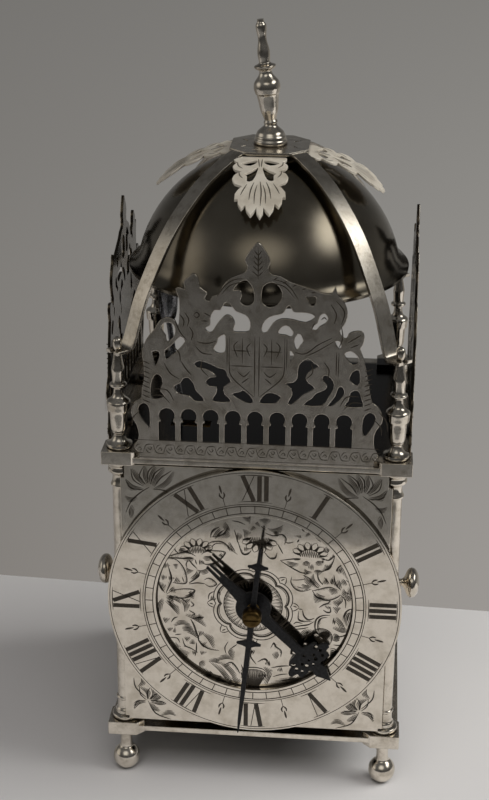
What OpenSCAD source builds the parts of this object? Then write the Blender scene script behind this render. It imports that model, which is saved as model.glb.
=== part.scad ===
// Lantern clock: silvered brass case and frets, a bell on a strap, and a spring-driven
// two-train movement with a pendulum behind it. Origin on the table between the feet, front is -Y.

/* [Frame] */
// Distance between pillar axes
pillar_pitch = 141; // [120:1:160]
// Side of a square corner block
block_w = 19.5; // [16:0.5:22]
// Height of a corner block
block_h = 7.7; // [6.5:0.1:10]
// Chamfer on the inner edges of a block
block_chamfer = 4; // [1:0.5:5]
// Thickness of the top and bottom plates
plate_t = 3; // [2:0.5:4]
// How far a plate edge stands inside the block faces
plate_inset = 0.7; // [0.2:0.1:2]
// Height of a ball foot, table to block
foot_h = 25.7; // [22:0.1:34]
// Length of a pillar between its blocks
pillar_h = 153.9; // [140:0.1:170]
// Radius of the threaded spigots on a pillar
spigot_r = 2.2; // [1.5:0.1:2.4]
// Height of a corner finial above its block
finial_h = 59.3; // [52:0.1:66]

/* [Dial] */
// Half width of the front plate
dial_half_w = 69.5; // [66:0.5:72]
// Thickness of the front plate
dial_plate_t = 1.5; // [1:0.1:2]
// Gap between the chapter ring and the top plate
ring_top_gap = 0.1; // [0.1:0.1:3]
// Gap between the chapter ring and the bottom plate
ring_low_gap = 2.7; // [1:0.1:6]
// Width of the chapter ring's band
ring_band = 25.3; // [22:0.1:28]
// Thickness of the chapter ring
ring_t = 3.2; // [2:0.1:4]
// Length of the hour hand, centre to tip
hour_len = 58.5; // [54:0.5:62]
// Length of the minute hand, centre to tip
minute_len = 72.5; // [66:0.5:76]
// Hour angle shown by the hour hand, clockwise from twelve
hour_angle = 135; // [0:1:360]
// Angle shown by the minute hand, clockwise from twelve
minute_angle = 185.6; // [0:0.1:360]

/* [Frets and doors] */
// Thickness of a fret
fret_t = 1.6; // [1:0.1:2.5]
// Number of arched openings in the foot of a fret
arch_n = 9; // [5:2:11]
// Distance between arched openings
arch_pitch = 11.1; // [10:0.1:11.4]
// Thickness of a door
door_t = 1.5; // [1:0.1:2]
// Half width of a door
door_half_w = 63; // [58:0.5:63]
// Radius of a door pin
door_pin_r = 1.2; // [0.8:0.1:1.4]
// Gap between a door pin and its bore
door_fit = 0.08; // [0.04:0.01:0.1]

/* [Bell] */
// Radius of the bell dome
bell_r = 70.4; // [66:0.1:71]
// Radius of the bell lip
bell_lip_r = 73.9; // [70:0.1:75]
// Thickness of the bell wall
bell_t = 2.8; // [2:0.1:3.5]
// Width of the strap over the bell
strap_w = 9.5; // [7:0.5:11]
// Thickness of the strap
strap_t = 1.8; // [1.2:0.1:2.4]
// Height of the bell's crown above the top plate
bell_rise = 142.6; // [138:0.1:146]
// Thickness of the pierced leaf plate
leaf_t = 1.2; // [0.8:0.1:1.6]
// Height of the top finial
top_finial_h = 63.5; // [58:0.1:72]
// Sideways lean of the top finial above its base
finial_lean = 6.5; // [0:0.5:9]

/* [Movement] */
// Half width of the movement plates
move_half_w = 57; // [55:1:58]
// Thickness of the movement plates
move_t = 2.5; // [2:0.1:3]
// Front face of the front movement plate, from the clock centre
move_front_y = -60; // [-62:0.5:-58]
// Distance between the movement plates
move_gap = 45.5; // [45:0.5:46]
// Teeth on the two great wheels
great_n = 96; // [96]
// Teeth on the centre wheel
centre_n = 80; // [80]
// Teeth on the third wheel
third_n = 78; // [78]
// Teeth on the escape wheel
escape_n = 42; // [36:2:44]
// Leaves on the great wheels' pinions, and on the third, hoop and count pinions
leaf_n = 8; // [8]
// Leaves on the escape pinion
escape_leaf_n = 6; // [6]
// Teeth on the pin wheel of the strike
pin_wheel_n = 64; // [64]
// Teeth on the hoop wheel of the strike
hoop_n = 56; // [56]
// Leaves on the fly pinion
fly_leaf_n = 7; // [7]
// Teeth on the count wheel, one for each blow in twelve hours
count_n = 78; // [78]
// Pins that lift the hammer
pin_n = 8; // [8]
// Pressure angle of the teeth
pressure = 29; // [25:1:30]
// Tooth gap given up to play, as a part of the pitch
backlash = 0.1; // [0.05:0.01:0.15]
// Outer radius of a spring barrel
barrel_r = 23; // [20:0.5:23]

/* [Fits] */
// Gap between an arbor or spigot and its bore
bore_fit = 0.05; // [0.02:0.01:0.1]
// Gap kept between parts that pass each other
ease = 0.3; // [0.1:0.05:0.5]

/* [Hidden] */
$fn = 64;

silver = [0.80, 0.78, 0.73];
brass = [0.72, 0.60, 0.36];
bell_metal = [0.24, 0.21, 0.17];
blued_steel = [0.10, 0.10, 0.11];
steel = [0.55, 0.56, 0.58];

axis_xy = pillar_pitch / 2;
block_out = axis_xy + block_w / 2 - 1.25;
block_in = block_out - block_w;
bottom_z = foot_h + 2.8;
deck_z = bottom_z + plate_t;
pillar_z = foot_h + block_h;
top_block_z = pillar_z + pillar_h;
top_block_h = block_h - 0.5;
top_plate_z = top_block_z + 1;
roof_z = top_plate_z + plate_t;
finial_z = top_block_z + top_block_h;
plate_out = block_out - plate_inset;
ring_r = (top_plate_z - deck_z - ring_top_gap - ring_low_gap) / 2;
ring_in_r = ring_r - ring_band;
dial_z = top_plate_z - ring_top_gap - ring_r;

ring_y = -plate_out - 2.4;
dial_plate_y = ring_y + ring_t;
hour_hand_y = ring_y - 1.9;
minute_hand_y = hour_hand_y - 7.5;

move_back_y = move_front_y + move_t + move_gap;
move_low = 64;
move_high = 66;

// Smooth curves through chosen points
function between(a, b, c, d, t) = 0.5 * (2 * b + (c - a) * t + (2 * a - 5 * b + 4 * c - d) * t * t
  + (3 * b - a - 3 * c + d) * t * t * t);
function smooth(p, n = 3) = [for (i = [0:len(p) - 2], k = [0:n - 1])
  between(p[max(i - 1, 0)], p[i], p[i + 1], p[min(i + 2, len(p) - 1)], k / n), p[len(p) - 1]];
function smooth_loop(p, n = 2) = let(m = len(p)) [for (i = [0:m - 1], k = [0:n - 1])
  between(p[(i + m - 1) % m], p[i], p[(i + 1) % m], p[(i + 2) % m], k / n)];
function polar(r, a) = [r * cos(a), r * sin(a)];
function arc(r, a, b, n, c = [0, 0]) = [for (i = [0:n]) c + polar(r, a + (b - a) * i / n)];

// A turned part: [height, radius] points from its foot up
module turned(points, n = 3) {
  line = smooth(points, n);
  rotate_extrude() polygon([[0, points[0][0]], for (p = line) [max(p[1], 0.05), p[0]],
    [0, points[len(points) - 1][0]]]);
}
// A flat shape drawn in x and z, from y forwards by t
module flat(y, t) translate([0, y, 0]) rotate([90, 0, 0]) linear_extrude(t) children();
// A rod along y
module rod(x, z, y1, y2, r) translate([x, y1, z]) rotate([-90, 0, 0]) cylinder(r = r, h = y2 - y1);
module at_dial() translate([0, 0, dial_z]) children();
module corners() for (x = [-1, 1], y = [-1, 1]) translate([x * axis_xy, y * axis_xy, 0]) children();
// A flat lever arm with an eye at each end
eye_rim = 0.12;
module link(a, b, w) {
  d = b - a;
  translate(a) rotate(atan2(d[1], d[0])) translate([0, -w / 2]) square([norm(d), w]);
  translate(a) circle(w / 2 + eye_rim);
  translate(b) circle(w / 2 + eye_rim);
}

// Toothed wheels. A wheel's teeth are low and its pinion's leaves tall, as in clock work.
wheel_add = 0.6;
leaf_add = 0.8;
root_gap = 0.25;
function inv(a) = tan(a) * 180 / PI - a;
function half_tooth(n, r, m) = let(rp = n * m / 2, rb = rp * cos(pressure), a = acos(min(1, rb / r)))
  90 / n * (1 - 2 * backlash / 2) + inv(pressure) - inv(a);
function tooth_radii(n, m, add, ded) = let(rp = n * m / 2, rb = rp * cos(pressure),
  low = max(rb, rp - ded * m)) [rp - ded * m, low, (low + rp) / 2, rp, rp + add * m];
function tooth(n, m, add, ded, at) = let(rr = tooth_radii(n, m, add, ded))
  concat([for (r = rr) polar(r, at - half_tooth(n, max(r, rr[1]), m))],
    [for (i = [len(rr) - 1:-1:0]) polar(rr[i], at + half_tooth(n, max(rr[i], rr[1]), m))]);
module gear(n, m, add, ded, phase = 0)
  polygon([for (i = [0:n - 1]) each tooth(n, m, add, ded, phase + 360 * i / n)]);
module wheel_teeth(n, m, phase) gear(n, m, wheel_add, leaf_add + root_gap, phase);
module leaves(n, m, phase) gear(n, m, leaf_add, wheel_add + root_gap, phase);
// Angle of the second wheel of a pair that meshes along direction th
function meshed(th, first, n1, n2) = th + 180 + 180 / n2 - (first - th) * n1 / n2;
function reach(n1, n2, m) = (n1 + n2) * m / 2;
// A wheel's spokes: rim, hub and arms
module crossed(rim, hub, arms, w, turn = 0) difference() {
  children();
  difference() {
    circle(rim);
    circle(hub);
    for (i = [0:arms - 1]) rotate(turn + 360 * i / arms) translate([0, -w / 2]) square([rim + 1, w]);
  }
}

// Where the arbors stand, from the dial centre in x and z
great_m = 0.5;
centre_m = 0.45;
third_m = 0.4;
great_reach = reach(great_n, leaf_n, great_m);
going_x = 25.2;
going_at = [going_x, -sqrt(great_reach * great_reach - going_x * going_x)];
going_dir = atan2(going_at[1], going_at[0]);
third_dir = 75;
third_at = polar(reach(centre_n, leaf_n, centre_m), third_dir);
escape_reach = reach(third_n, escape_leaf_n, third_m);
escape_at = [0, third_at[1] + sqrt(escape_reach * escape_reach - third_at[0] * third_at[0])];
escape_dir = atan2(escape_at[1] - third_at[1], escape_at[0] - third_at[0]);
escape_r = 9.5;
pallet_rise = 13;
pallet_at = escape_at + [0, pallet_rise];
strike_at = [-27, -8];
pin_dir = 100;
pin_at = strike_at + polar(great_reach, pin_dir);
hoop_dir = 60;
hoop_at = pin_at + polar(reach(pin_wheel_n, leaf_n, centre_m), hoop_dir);
fly_dir = 80;
fly_at = hoop_at + polar(reach(hoop_n, fly_leaf_n, third_m), fly_dir);
count_dir = 100.5;
count_at = pin_at + polar(reach(count_n, leaf_n, great_m), count_dir);
hammer_at = [-49, 22];
lever_at = [-12, 58];
minute_m = 0.5;
hour_m = 0.48;
cannon_n = 12;
minute_n = 36;
minute_leaf_n = 10;
hour_n = 40;
minute_dir = 40;
minute_at = polar(reach(cannon_n, minute_n, minute_m), minute_dir);

// Wheel angles, so that every tooth stands in a gap
centre_leaf_phase = meshed(going_dir + 180, 0, great_n, leaf_n);
third_leaf_phase = meshed(third_dir, 0, centre_n, leaf_n);
escape_leaf_phase = meshed(escape_dir, 0, third_n, escape_leaf_n);
pin_leaf_phase = meshed(pin_dir, 0, great_n, leaf_n);
hoop_leaf_phase = meshed(hoop_dir, 0, pin_wheel_n, leaf_n);
fly_leaf_phase = meshed(fly_dir, 0, hoop_n, fly_leaf_n);
count_phase = meshed(count_dir, 0, leaf_n, count_n);
minute_phase = meshed(minute_dir, 0, cannon_n, minute_n);
hour_phase = meshed(minute_dir + 180, 0, minute_leaf_n, hour_n);

// The pendulum's length follows from the beats of the train
beats_an_hour = 2 * escape_n * third_n / escape_leaf_n * centre_n / leaf_n;
half_swing = 3600 / beats_an_hour;
pendulum_l = 9810 * half_swing * half_swing / (PI * PI);

// Layers of the movement, each the back face of a wheel
great_y = move_back_y - 15;
centre_y = great_y + 6;
third_y = centre_y + 3.4;
escape_y = third_y + 3.2;
wheel_t = 1.6;
rear_y = move_back_y + move_t;

arbor_r = 1.1;
thin_arbor_r = 0.75;
winding_r = 2.6;

// Plates and corner blocks
function corner_square() = let(a = block_in, b = block_out, c = block_chamfer)
  [[b, b], [a + c, b], [a, b - c], [a, a], [b - c, a], [b, a + c]];
module blocks(z, h) for (x = [0, 1], y = [0, 1]) mirror([x, 0, 0]) mirror([0, y, 0])
  translate([0, 0, z]) linear_extrude(h) polygon(corner_square());
module square_plate(z)
  translate([-plate_out, -plate_out, z]) cube([2 * plate_out, 2 * plate_out, plate_t]);
// Door hinge axes: left and right doors at the back corners, the back door at its right end
pillar_base_r = 7.2;
door_barrel_r = door_pin_r + 0.4;
door_axis = [plate_out - door_t / 2 - 5, axis_xy - pillar_base_r - door_barrel_r - ease];
module door_places() {
  for (x = [-1, 1]) translate([x * door_axis[0], door_axis[1], 0]) children();
  translate([door_axis[1], door_axis[0], 0]) children();
}
pin_reach = 4;
module bottom_plate() color(silver) difference() {
  union() {
    square_plate(bottom_z);
    blocks(foot_h, block_h);
  }
  corners() translate([0, 0, foot_h - 1]) cylinder(r = spigot_r + bore_fit, h = block_h + 2);
  door_places() translate([0, 0, pillar_z - pin_reach - 0.4])
    cylinder(r = door_pin_r + door_fit, h = pin_reach + 1);
}
module top_plate() color(silver) difference() {
  union() {
    square_plate(top_plate_z);
    blocks(top_block_z, top_block_h);
  }
  corners() translate([0, 0, top_block_z - 1]) cylinder(r = spigot_r + bore_fit, h = block_h + 2);
  door_places() translate([0, 0, top_block_z - 0.6])
    cylinder(r = door_pin_r + door_fit, h = pin_reach + 1);
  // The hammer stands up through this slot
  translate([knee_x - 4.5, hammer_head_y - 4, top_plate_z - 1]) cube([21, 8, plate_t + 2]);
  at_dial() rod(0, 0, ring_y - 1, dial_plate_y, ring_r + bore_fit);
}

// Turned pillars, finials and feet: [height, radius]
pillar_foot = [[0, 6.6], [0.6, pillar_base_r], [2.1, pillar_base_r], [2.7, 6.6], [3.2, 5.3], [4.6, 5.2],
  [5.4, 4.9], [6.2, 4.4], [8.4, 4.2], [11.2, 4.2], [11.8, 4.7], [12.8, 4.8], [13.4, 4.3], [14.4, 4.1]];
pillar_cap = [[-15, 4.1], [-14.4, 4.8], [-13.6, 5], [-12.6, 4.6], [-11.2, 4.1], [-8.6, 3.9], [-7.4, 4.4],
  [-6.9, 5.2], [-6.2, 6], [-5.2, 6.3], [-4, 6.1], [-3, 5.9], [-1.6, 6.8], [-0.8, pillar_base_r],
  [0, pillar_base_r]];
module pillar() color(silver) {
  turned(concat(pillar_foot, [[pillar_h * 0.4, 4.2], [pillar_h * 0.75, 4.1]],
    [for (p = pillar_cap) [pillar_h + p[0], p[1]]]));
  translate([0, 0, -block_h - 5]) cylinder(r = spigot_r, h = block_h + 5);
  translate([0, 0, pillar_h]) cylinder(r = spigot_r, h = top_block_h + 5);
}
module pillar_at(x, y) translate([x * axis_xy, y * axis_xy, pillar_z]) pillar();
module front_left_pillar() pillar_at(-1, -1);
module front_right_pillar() pillar_at(1, -1);
module back_left_pillar() pillar_at(-1, 1);
module back_right_pillar() pillar_at(1, 1);

strap_seat = 51;
spigot_top_r = 1.3;
finial_line = [[0, 6], [0.4, 6.6], [2, 6.6], [2.4, 6.1], [3, 5], [4, 4], [5.3, 3.3], [6.4, 2.9], [7.4, 2.9],
  [8, 3.4], [8.6, 3.6], [9.2, 3.5], [10.1, 4.1], [15, 4.5], [19.6, 4.7], [19.9, 5.4], [20.3, 5.7],
  [22.5, 5.9], [24.7, 6.1], [25.6, 5.6], [26.2, 4.9], [27.3, 3.5], [29, 2.7], [31.1, 2.4], [32.4, 2.4],
  [32.9, 3.5], [33.4, 4.1], [34, 4.3], [34.6, 4.1], [35.1, 3.4], [35.6, 3], [38, 3], [40.5, 3.2],
  [42.4, 3.3], [45.5, 2.7], [50, 2], [strap_seat, 1.9]];
knob_line = [[0, 1.6], [0.5, 2], [1.8, 2.3], [4.2, 2.3], [5.5, 1.8], [6.3, 0.8]];
module finial() color(silver) difference() {
  union() {
    turned(finial_line);
    translate([0, 0, strap_seat - 1]) cylinder(r = spigot_top_r, h = strap_t + 2);
    translate([0, 0, strap_seat + strap_t]) turned([for (p = knob_line)
      [p[0] * (finial_h - strap_seat - strap_t) / 6.3, p[1]]]);
  }
  translate([0, 0, -1]) cylinder(r = spigot_r + bore_fit, h = 6.2);
}
module finial_at(x, y) translate([x * axis_xy, y * axis_xy, finial_z]) finial();
module front_left_finial() finial_at(-1, -1);
module front_right_finial() finial_at(1, -1);
module back_left_finial() finial_at(-1, 1);
module back_right_finial() finial_at(1, 1);

foot_flat_r = 2.2;
foot_ball_r = 7.3;
foot_line = [[0, foot_flat_r], [0.6, 3.7], [2.2, 5.4], [4.5, 6.8], [foot_ball_r, foot_ball_r], [10.1, 6.8],
  [12.4, 5.2], [13.6, 3.9], [14.6, 3.4], [17, 3.2], [20, 3.3], [22.4, 3.8], [24, 4.5], [25.7, 4.7]];
module ball_feet() color(silver) corners() difference() {
  turned([for (p = foot_line) [p[0] * foot_h / 25.7, p[1]]]);
  translate([0, 0, foot_h - 5.2]) cylinder(r = spigot_r + bore_fit, h = 6);
}

// Front plate, chapter ring and hands
ring_foot_r = 2;
dial_low = 2.1;
ring_foot_at = ring_r - ring_band / 2 - 0.35;
ring_foot_len = 4;
module dial_plate() color(silver) difference() {
  translate([-dial_half_w, dial_plate_y, pillar_z + dial_low])
    cube([2 * dial_half_w, dial_plate_t, pillar_h - dial_low]);
  corners() {
    translate([0, 0, pillar_z - 1]) cylinder(r = 7.6, h = 4.8);
    translate([0, 0, top_block_z - 7.3]) cylinder(r = 7.6, h = 9);
  }
  at_dial() rod(0, 0, dial_plate_y - 1, dial_plate_y + dial_plate_t + 1, hour_pipe_r + ease);
  for (a = [45:90:315]) at_dial() rod(ring_foot_at * cos(a), ring_foot_at * sin(a), dial_plate_y - 1,
    dial_plate_y + dial_plate_t + 1, ring_foot_r + bore_fit);
}
module chapter_ring() color(silver) at_dial() {
  difference() {
    rod(0, 0, ring_y, dial_plate_y, ring_r);
    rod(0, 0, ring_y - 1, dial_plate_y + 1, ring_in_r);
  }
  for (a = [45:90:315]) rod(ring_foot_at * cos(a), ring_foot_at * sin(a), ring_y + ring_t - 0.5,
    ring_y + ring_t + ring_foot_len, ring_foot_r);
}

hand_t = 1.6;
minute_hand_t = 1.2;
cannon_r = 2;
hour_pipe_r = 3.2;
hub_r = 10.4;
// One edge of the hour hand from hub to tip: [across, along], along as a part of its length
hour_edge = [[4.9, 0.16], [4.4, 0.3], [3.9, 0.5], [3.6, 0.57], [5.2, 0.6], [8.6, 0.61], [10.2, 0.64],
  [9.2, 0.67], [11.8, 0.66], [14.2, 0.7], [12.7, 0.74], [10, 0.755], [9.8, 0.79], [6.8, 0.78],
  [4.7, 0.8], [3.7, 0.83], [2.7, 0.9], [1.3, 0.945], [0.25, 1]];
hour_tail = [[0.9, -33], [1.7, -32.5], [2.7, -24], [3.9, -14], [4.8, -9]];
hour_holes = [[0, 0.64, 1], [0, 0.755, 1], [3.3, 0.7, 1.1], [7.6, 0.645, 1.5], [10.6, 0.715, 1.2],
  [4.6, 0.755, 0.8]];
function mirror_line(p) = concat(p, [for (i = [len(p) - 1:-1:0]) [-p[i][0], p[i][1]]]);
module hand_pose(a) at_dial() rotate([0, a, 0]) children();
module hour_hand() color(blued_steel) hand_pose(hour_angle) flat(hour_hand_y, hand_t) difference() {
  union() {
    circle(hub_r);
    for (a = [0:30:330]) rotate(a) translate([hub_r - 0.4, 0]) circle(1.9);
    polygon(mirror_line(smooth([for (p = hour_edge) [p[0], p[1] * hour_len]], 2)));
    polygon(mirror_line(hour_tail));
  }
  for (h = hour_holes, s = [-1, 1]) translate([s * h[0], h[1] * hour_len]) circle(h[2]);
  translate([-0.6, -34]) square([1.2, 8]);
  circle(hour_pipe_r);
}
minute_edge = [[1.6, 0], [1.5, 10], [1.45, 15.4], [3.5, 16], [6.4, 17], [6.4, 18], [3.5, 18.6],
  [1.4, 19.4], [1.3, 30], [1.2, 50], [0.9, 65]];
minute_tail = [[0.5, -38.5], [0.9, -30], [3, -28.8], [5.3, -28.3], [5.3, -27.3], [3, -26.8], [1.2, -26],
  [1.5, -10], [1.6, 0]];
module minute_hand() color(blued_steel) hand_pose(minute_angle) flat(minute_hand_y, minute_hand_t) difference() {
  union() {
    polygon(mirror_line(concat(minute_tail, minute_edge, [[0.3, minute_len]])));
    circle(5);
  }
  circle(arbor_r);
}
nut_y = minute_hand_y - minute_hand_t;
nut_depth = 5;
module hand_nut() color(brass) at_dial() translate([0, nut_y, 0]) rotate([90, 0, 0]) difference() {
  turned([[0, 4.9], [0.6, 5.1], [4, 5], [5.2, 4.4], [5.8, 3]]);
  translate([0, 0, -1]) cylinder(r = arbor_r, h = nut_depth + 1);
  translate([-6, -0.5, nut_depth + 0.2]) cube([12, 1, 2]);
}

// Pierced frets: lion and unicorn beside a plain shield, in [across, height] from the top plate.
// The outline runs from the left foot over the crest to the right foot.
fret_outline = [[-59.2, 3.6], [-62.3, 6.5], [-60, 10], [-59.3, 13], [-60.2, 18], [-62, 21.5], [-63, 25],
  [-62.4, 29], [-60.2, 31.8], [-57.6, 33.6], [-57.4, 38], [-56, 45], [-56.4, 52], [-57, 57], [-56, 62],
  [-53.6, 66.4], [-51, 69.4], [-49, 73], [-46.8, 75.6], [-43.5, 76.4], [-40.4, 75], [-39, 72], [-38.4, 76],
  [-38.2, 83], [-38.6, 87], [-40, 91.2], [-38, 92], [-35.4, 91.2], [-36, 95], [-33.5, 97.4], [-31.5, 99.3],
  [-29, 97.6], [-28.4, 94.4], [-28, 92.4], [-25.8, 90.8], [-24.4, 89.4], [-26, 86.6], [-23.2, 85.6],
  [-22, 88.2], [-18.4, 89.4], [-17, 93.4], [-13.4, 97.4], [-9, 99.4], [-6, 101], [-5, 104],
  [-6.4, 106.6], [-5, 110], [-3, 112.6], [0, 116], [3, 112.6], [5.4, 108.6], [6, 105.6], [5, 103],
  [6.6, 100.2], [11, 99.4], [15, 97], [19, 95.7], [24, 94], [28, 92.8], [32, 91.4], [36, 91.6], [37.6, 95],
  [38.6, 91], [41.4, 88], [43.4, 84], [43.8, 79.6], [42.4, 75.6], [40.4, 72.4], [41.4, 69.6], [43.6, 68.6],
  [44.6, 71], [47, 72.4], [51, 72.6], [52.4, 69.6], [51.8, 65.6], [50.6, 63.2], [52.4, 58.4], [54, 51.6],
  [55.2, 45], [56.2, 40], [57.4, 35.6], [60.4, 33.4], [62.6, 29], [62.6, 25], [60.4, 21.5], [59, 18],
  [59, 13], [60, 10], [61.4, 6.5], [59.2, 3.6]];
fret_holes = [
  [[-59.4, 27], [-58, 30], [-55.5, 30.4], [-53.8, 27.5], [-53.6, 22], [-53.8, 17.4], [-55.4, 19], [-58, 22.6]],
  [[59.4, 27], [58, 29.6], [55.5, 29.8], [53.4, 27], [52.9, 21], [54.2, 17.4], [55.8, 19], [58, 22.6]],
  [[-53, 38], [-52, 43.5], [-50, 46.4], [-47.6, 45], [-47, 41.5], [-48.4, 37.6], [-46, 34.6], [-52, 33]],
  [[-52, 58.2], [-48.6, 58.4], [-48.6, 55], [-50.5, 50.6], [-51.4, 54]],
  [[-47.4, 70.6], [-45.6, 73.4], [-42, 73.4], [-40.4, 70.4], [-41, 66.6], [-44.4, 63.6], [-45, 67]],
  [[-45.4, 59.2], [-42, 62], [-38, 66.4], [-35.6, 64], [-39.5, 59], [-43, 56], [-45.3, 54.6]],
  [[-31, 52.6], [-28.5, 54.2], [-23.5, 53], [-19, 50.8], [-15.7, 50], [-14.6, 47], [-12.8, 43.6], [-16.4, 41],
    [-16, 37], [-12.8, 33.2], [-21.8, 33.2], [-20.2, 37], [-19.8, 40.8], [-24, 41.2], [-25.2, 43.5],
    [-23, 45.6], [-20, 46.2], [-22.5, 48.8], [-25.5, 50.2], [-29.5, 50.8]],
  [[-41, 40.5], [-38, 42], [-36.5, 44.5], [-34, 45], [-31.5, 42], [-30.4, 38.5], [-27.5, 35.5], [-26.4, 33],
    [-31, 33], [-33.5, 35.4], [-38, 36.2], [-40.5, 38]],
  [[-12, 37.5], [-8, 38.6], [-7, 39.5], [-4.5, 38], [-2, 34.8], [-2, 33], [-5, 33], [-10.5, 35.8]],
  [[12, 36.6], [8, 38.6], [4.5, 38], [2, 34.8], [2, 33], [5, 33], [9.6, 33.4]],
  [[-21.4, 60.6], [-19.6, 64], [-19, 66.6], [-16.2, 68.4], [-15.6, 66], [-15.6, 61], [-16.6, 58.8], [-19.5, 58.8]],
  [[-25.4, 71.4], [-23, 73], [-23, 76.6], [-21, 80.8], [-18, 81], [-16, 84.8], [-13.6, 84.6], [-10.6, 80.6],
    [-6, 79], [-3.6, 75.6], [-4, 70.8], [-8, 70.2], [-11.8, 70.4], [-10.8, 74], [-12.2, 77.6], [-15, 78.8],
    [-17.6, 76.6], [-20, 73.4], [-22, 70], [-24, 69.4]],
  [[2.4, 70.5], [2.8, 74.5], [6, 78.3], [11, 79.8], [13, 81], [14.5, 84], [16, 84.4], [17.5, 81.3], [22, 81.2],
    [26.4, 80.6], [27.8, 78.8], [23.6, 76.2], [17.5, 77.5], [11.7, 77.7], [7.6, 75.2], [4.6, 70.4]],
  [[30.3, 79], [31.5, 80.7], [33, 80.8], [34.4, 78.5], [33, 76], [30.4, 74.4], [28.6, 72.2], [26.4, 73.4], [29.4, 76]],
  [[23.2, 89.4], [28, 89.6], [28.4, 87.4], [27.4, 85], [25.4, 85.3], [24.6, 87.5]],
  [[10.4, 69.8], [11.6, 72.8], [14, 74.2], [16.2, 73], [17.6, 70.5], [16.6, 68.4], [14, 69.4]],
  [[18.2, 66], [19.5, 69.4], [21, 70], [22.6, 66.5], [21, 64], [19.5, 61.8]],
  [[16.2, 61], [17.5, 60], [18, 58.4], [16.6, 56]],
  [[20.3, 50], [21, 54.2], [25, 57.6], [28, 55.2], [30.4, 53.6], [26.6, 51.3], [24.2, 47.6], [25.6, 44.6],
    [28.8, 42], [23.6, 38.7], [20.6, 35.6], [17.6, 33], [15.6, 33.4], [17.6, 37.5], [17.4, 41], [14.4, 44],
    [18, 44.6], [20, 46.8]],
  [[32.6, 46.5], [33, 48.7], [35.2, 48.7], [37.7, 46], [38, 42], [35.2, 36.6], [32.6, 33], [23.4, 33],
    [27.5, 36.5], [29.6, 39.3], [33.8, 41.3], [34.8, 44]],
  [[35.5, 33], [39, 38], [40.3, 42.4], [42, 43.4], [43.4, 41], [42.4, 37.5], [39.6, 34.6], [37.4, 33]],
  [[44, 33], [45.6, 36], [46.6, 40.5], [49.5, 41.6], [51, 40.4], [52, 37], [52.8, 34.5], [52, 33]],
  [[46, 49], [47.5, 51.6], [50.2, 52.4], [50.9, 47], [50, 44.4], [47.6, 45.2], [46, 47]],
  [[38.2, 66.7], [40.2, 67], [41.2, 64.6], [40.2, 63]],
  [[43, 60.5], [46, 62.1], [49.3, 59.5], [49.8, 56.6], [47, 55.2], [44.6, 57.6]],
  [[-12, 91.6], [-9, 95.4], [-5.4, 96.8], [-2.2, 92.4], [-1.6, 87], [-3, 84.6], [-6, 83.8], [-8.6, 86],
    [-7.6, 88.5], [-8, 91], [-9.8, 91.8]],
  [[2.2, 92], [3.4, 94.6], [7, 96.2], [10, 94.4], [11.8, 91.4], [11.6, 88], [9.6, 84.8], [6, 83.4],
    [3, 84.8], [1.8, 87.4]]];
arch_foot = 10.6;
arch_w = 8.4;
arch_head_r = 3.9;
arch_head_z = 24.4;
module arch() {
  translate([-arch_w / 2, arch_foot]) square([arch_w, 10.2]);
  translate([-arch_head_r + 0.7, 20]) square([2 * arch_head_r - 1.4, 3]);
  translate([0, arch_head_z]) circle(arch_head_r);
}
module fret_shape() difference() {
  polygon(concat([[-59.2, 0]], smooth(fret_outline, 2), [[59.2, 0]]));
  for (i = [0:arch_n - 1]) translate([(i - (arch_n - 1) / 2) * arch_pitch - 0.6, 0]) arch();
  for (h = fret_holes) polygon(smooth_loop(h));
}
lug_at = 30;
lug = [10, 8];
screw_r = 1.25;
module fret() color(silver) difference() {
  union() {
    translate([0, 0, roof_z]) flat(-plate_out + fret_t, fret_t) fret_shape();
    for (x = [-1, 1]) translate([x * lug_at - lug[0] / 2, -plate_out + fret_t, roof_z])
      cube([lug[0], lug[1], fret_t]);
  }
  for (x = [-1, 1]) translate([x * lug_at, -plate_out + fret_t + lug[1] / 2, roof_z - 1])
    cylinder(r = screw_r + bore_fit, h = fret_t + 2);
}
module front_fret() fret();
module left_fret() rotate(-90) fret();
module right_fret() rotate(90) fret();
module fret_screws() color(steel) for (a = [-90, 0, 90], x = [-1, 1]) rotate(a)
  translate([x * lug_at, -plate_out + fret_t + lug[1] / 2, roof_z]) difference() {
    union() {
      cylinder(r = screw_r, h = fret_t);
      translate([0, 0, fret_t]) cylinder(r = 2.3, h = 1.2);
    }
    translate([-3, -0.35, fret_t + 0.7]) cube([6, 0.7, 1]);
  }

// Bell, its strap and the finial on top
bell_top_z = roof_z + bell_rise;
bell_centre_z = bell_top_z - bell_r;
bolt_r = 2.4;
strap_z = bell_top_z + leaf_t;
crown_z = strap_z + strap_t;
bell_edge = 14;
function bell_outer() = concat(arc(bell_r, 90, bell_edge, 16), [[bell_r + 0.1, 13.4], [bell_r + 2.2, 12.2],
  [bell_lip_r, 10.8], [bell_lip_r - 0.2, 9.2], [bell_lip_r - 1.6, 8.3], [bell_lip_r - 3.2, 8.4]]);
function bell_inner() = concat([[bell_r - 2, 10.6]], arc(bell_r - bell_t, bell_edge - 1, 90, 16));
module bell() color(bell_metal) translate([0, 0, bell_centre_z]) difference() {
  rotate_extrude($fn = 96) polygon([for (p = concat(bell_outer(), bell_inner())) [max(p[0], 0), p[1]]]);
  translate([0, 0, bell_r - 8]) cylinder(r = bolt_r + bore_fit, h = 10);
}
function normal(a, b) = let(d = b - a) [-d[1], d[0]] / norm(d);
function side(p, i) = normal(p[max(i - 1, 0)], p[min(i + 1, len(p) - 1)]);
function band(p, t) = concat([for (i = [0:len(p) - 1]) p[i] + side(p, i) * t / 2],
  [for (i = [len(p) - 1:-1:0]) p[i] - side(p, i) * t / 2]);
foot_plate_z = finial_z + strap_seat + strap_t / 2;
strap_mid_z = strap_z + strap_t / 2;
corner_r = axis_xy * sqrt(2);
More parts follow.
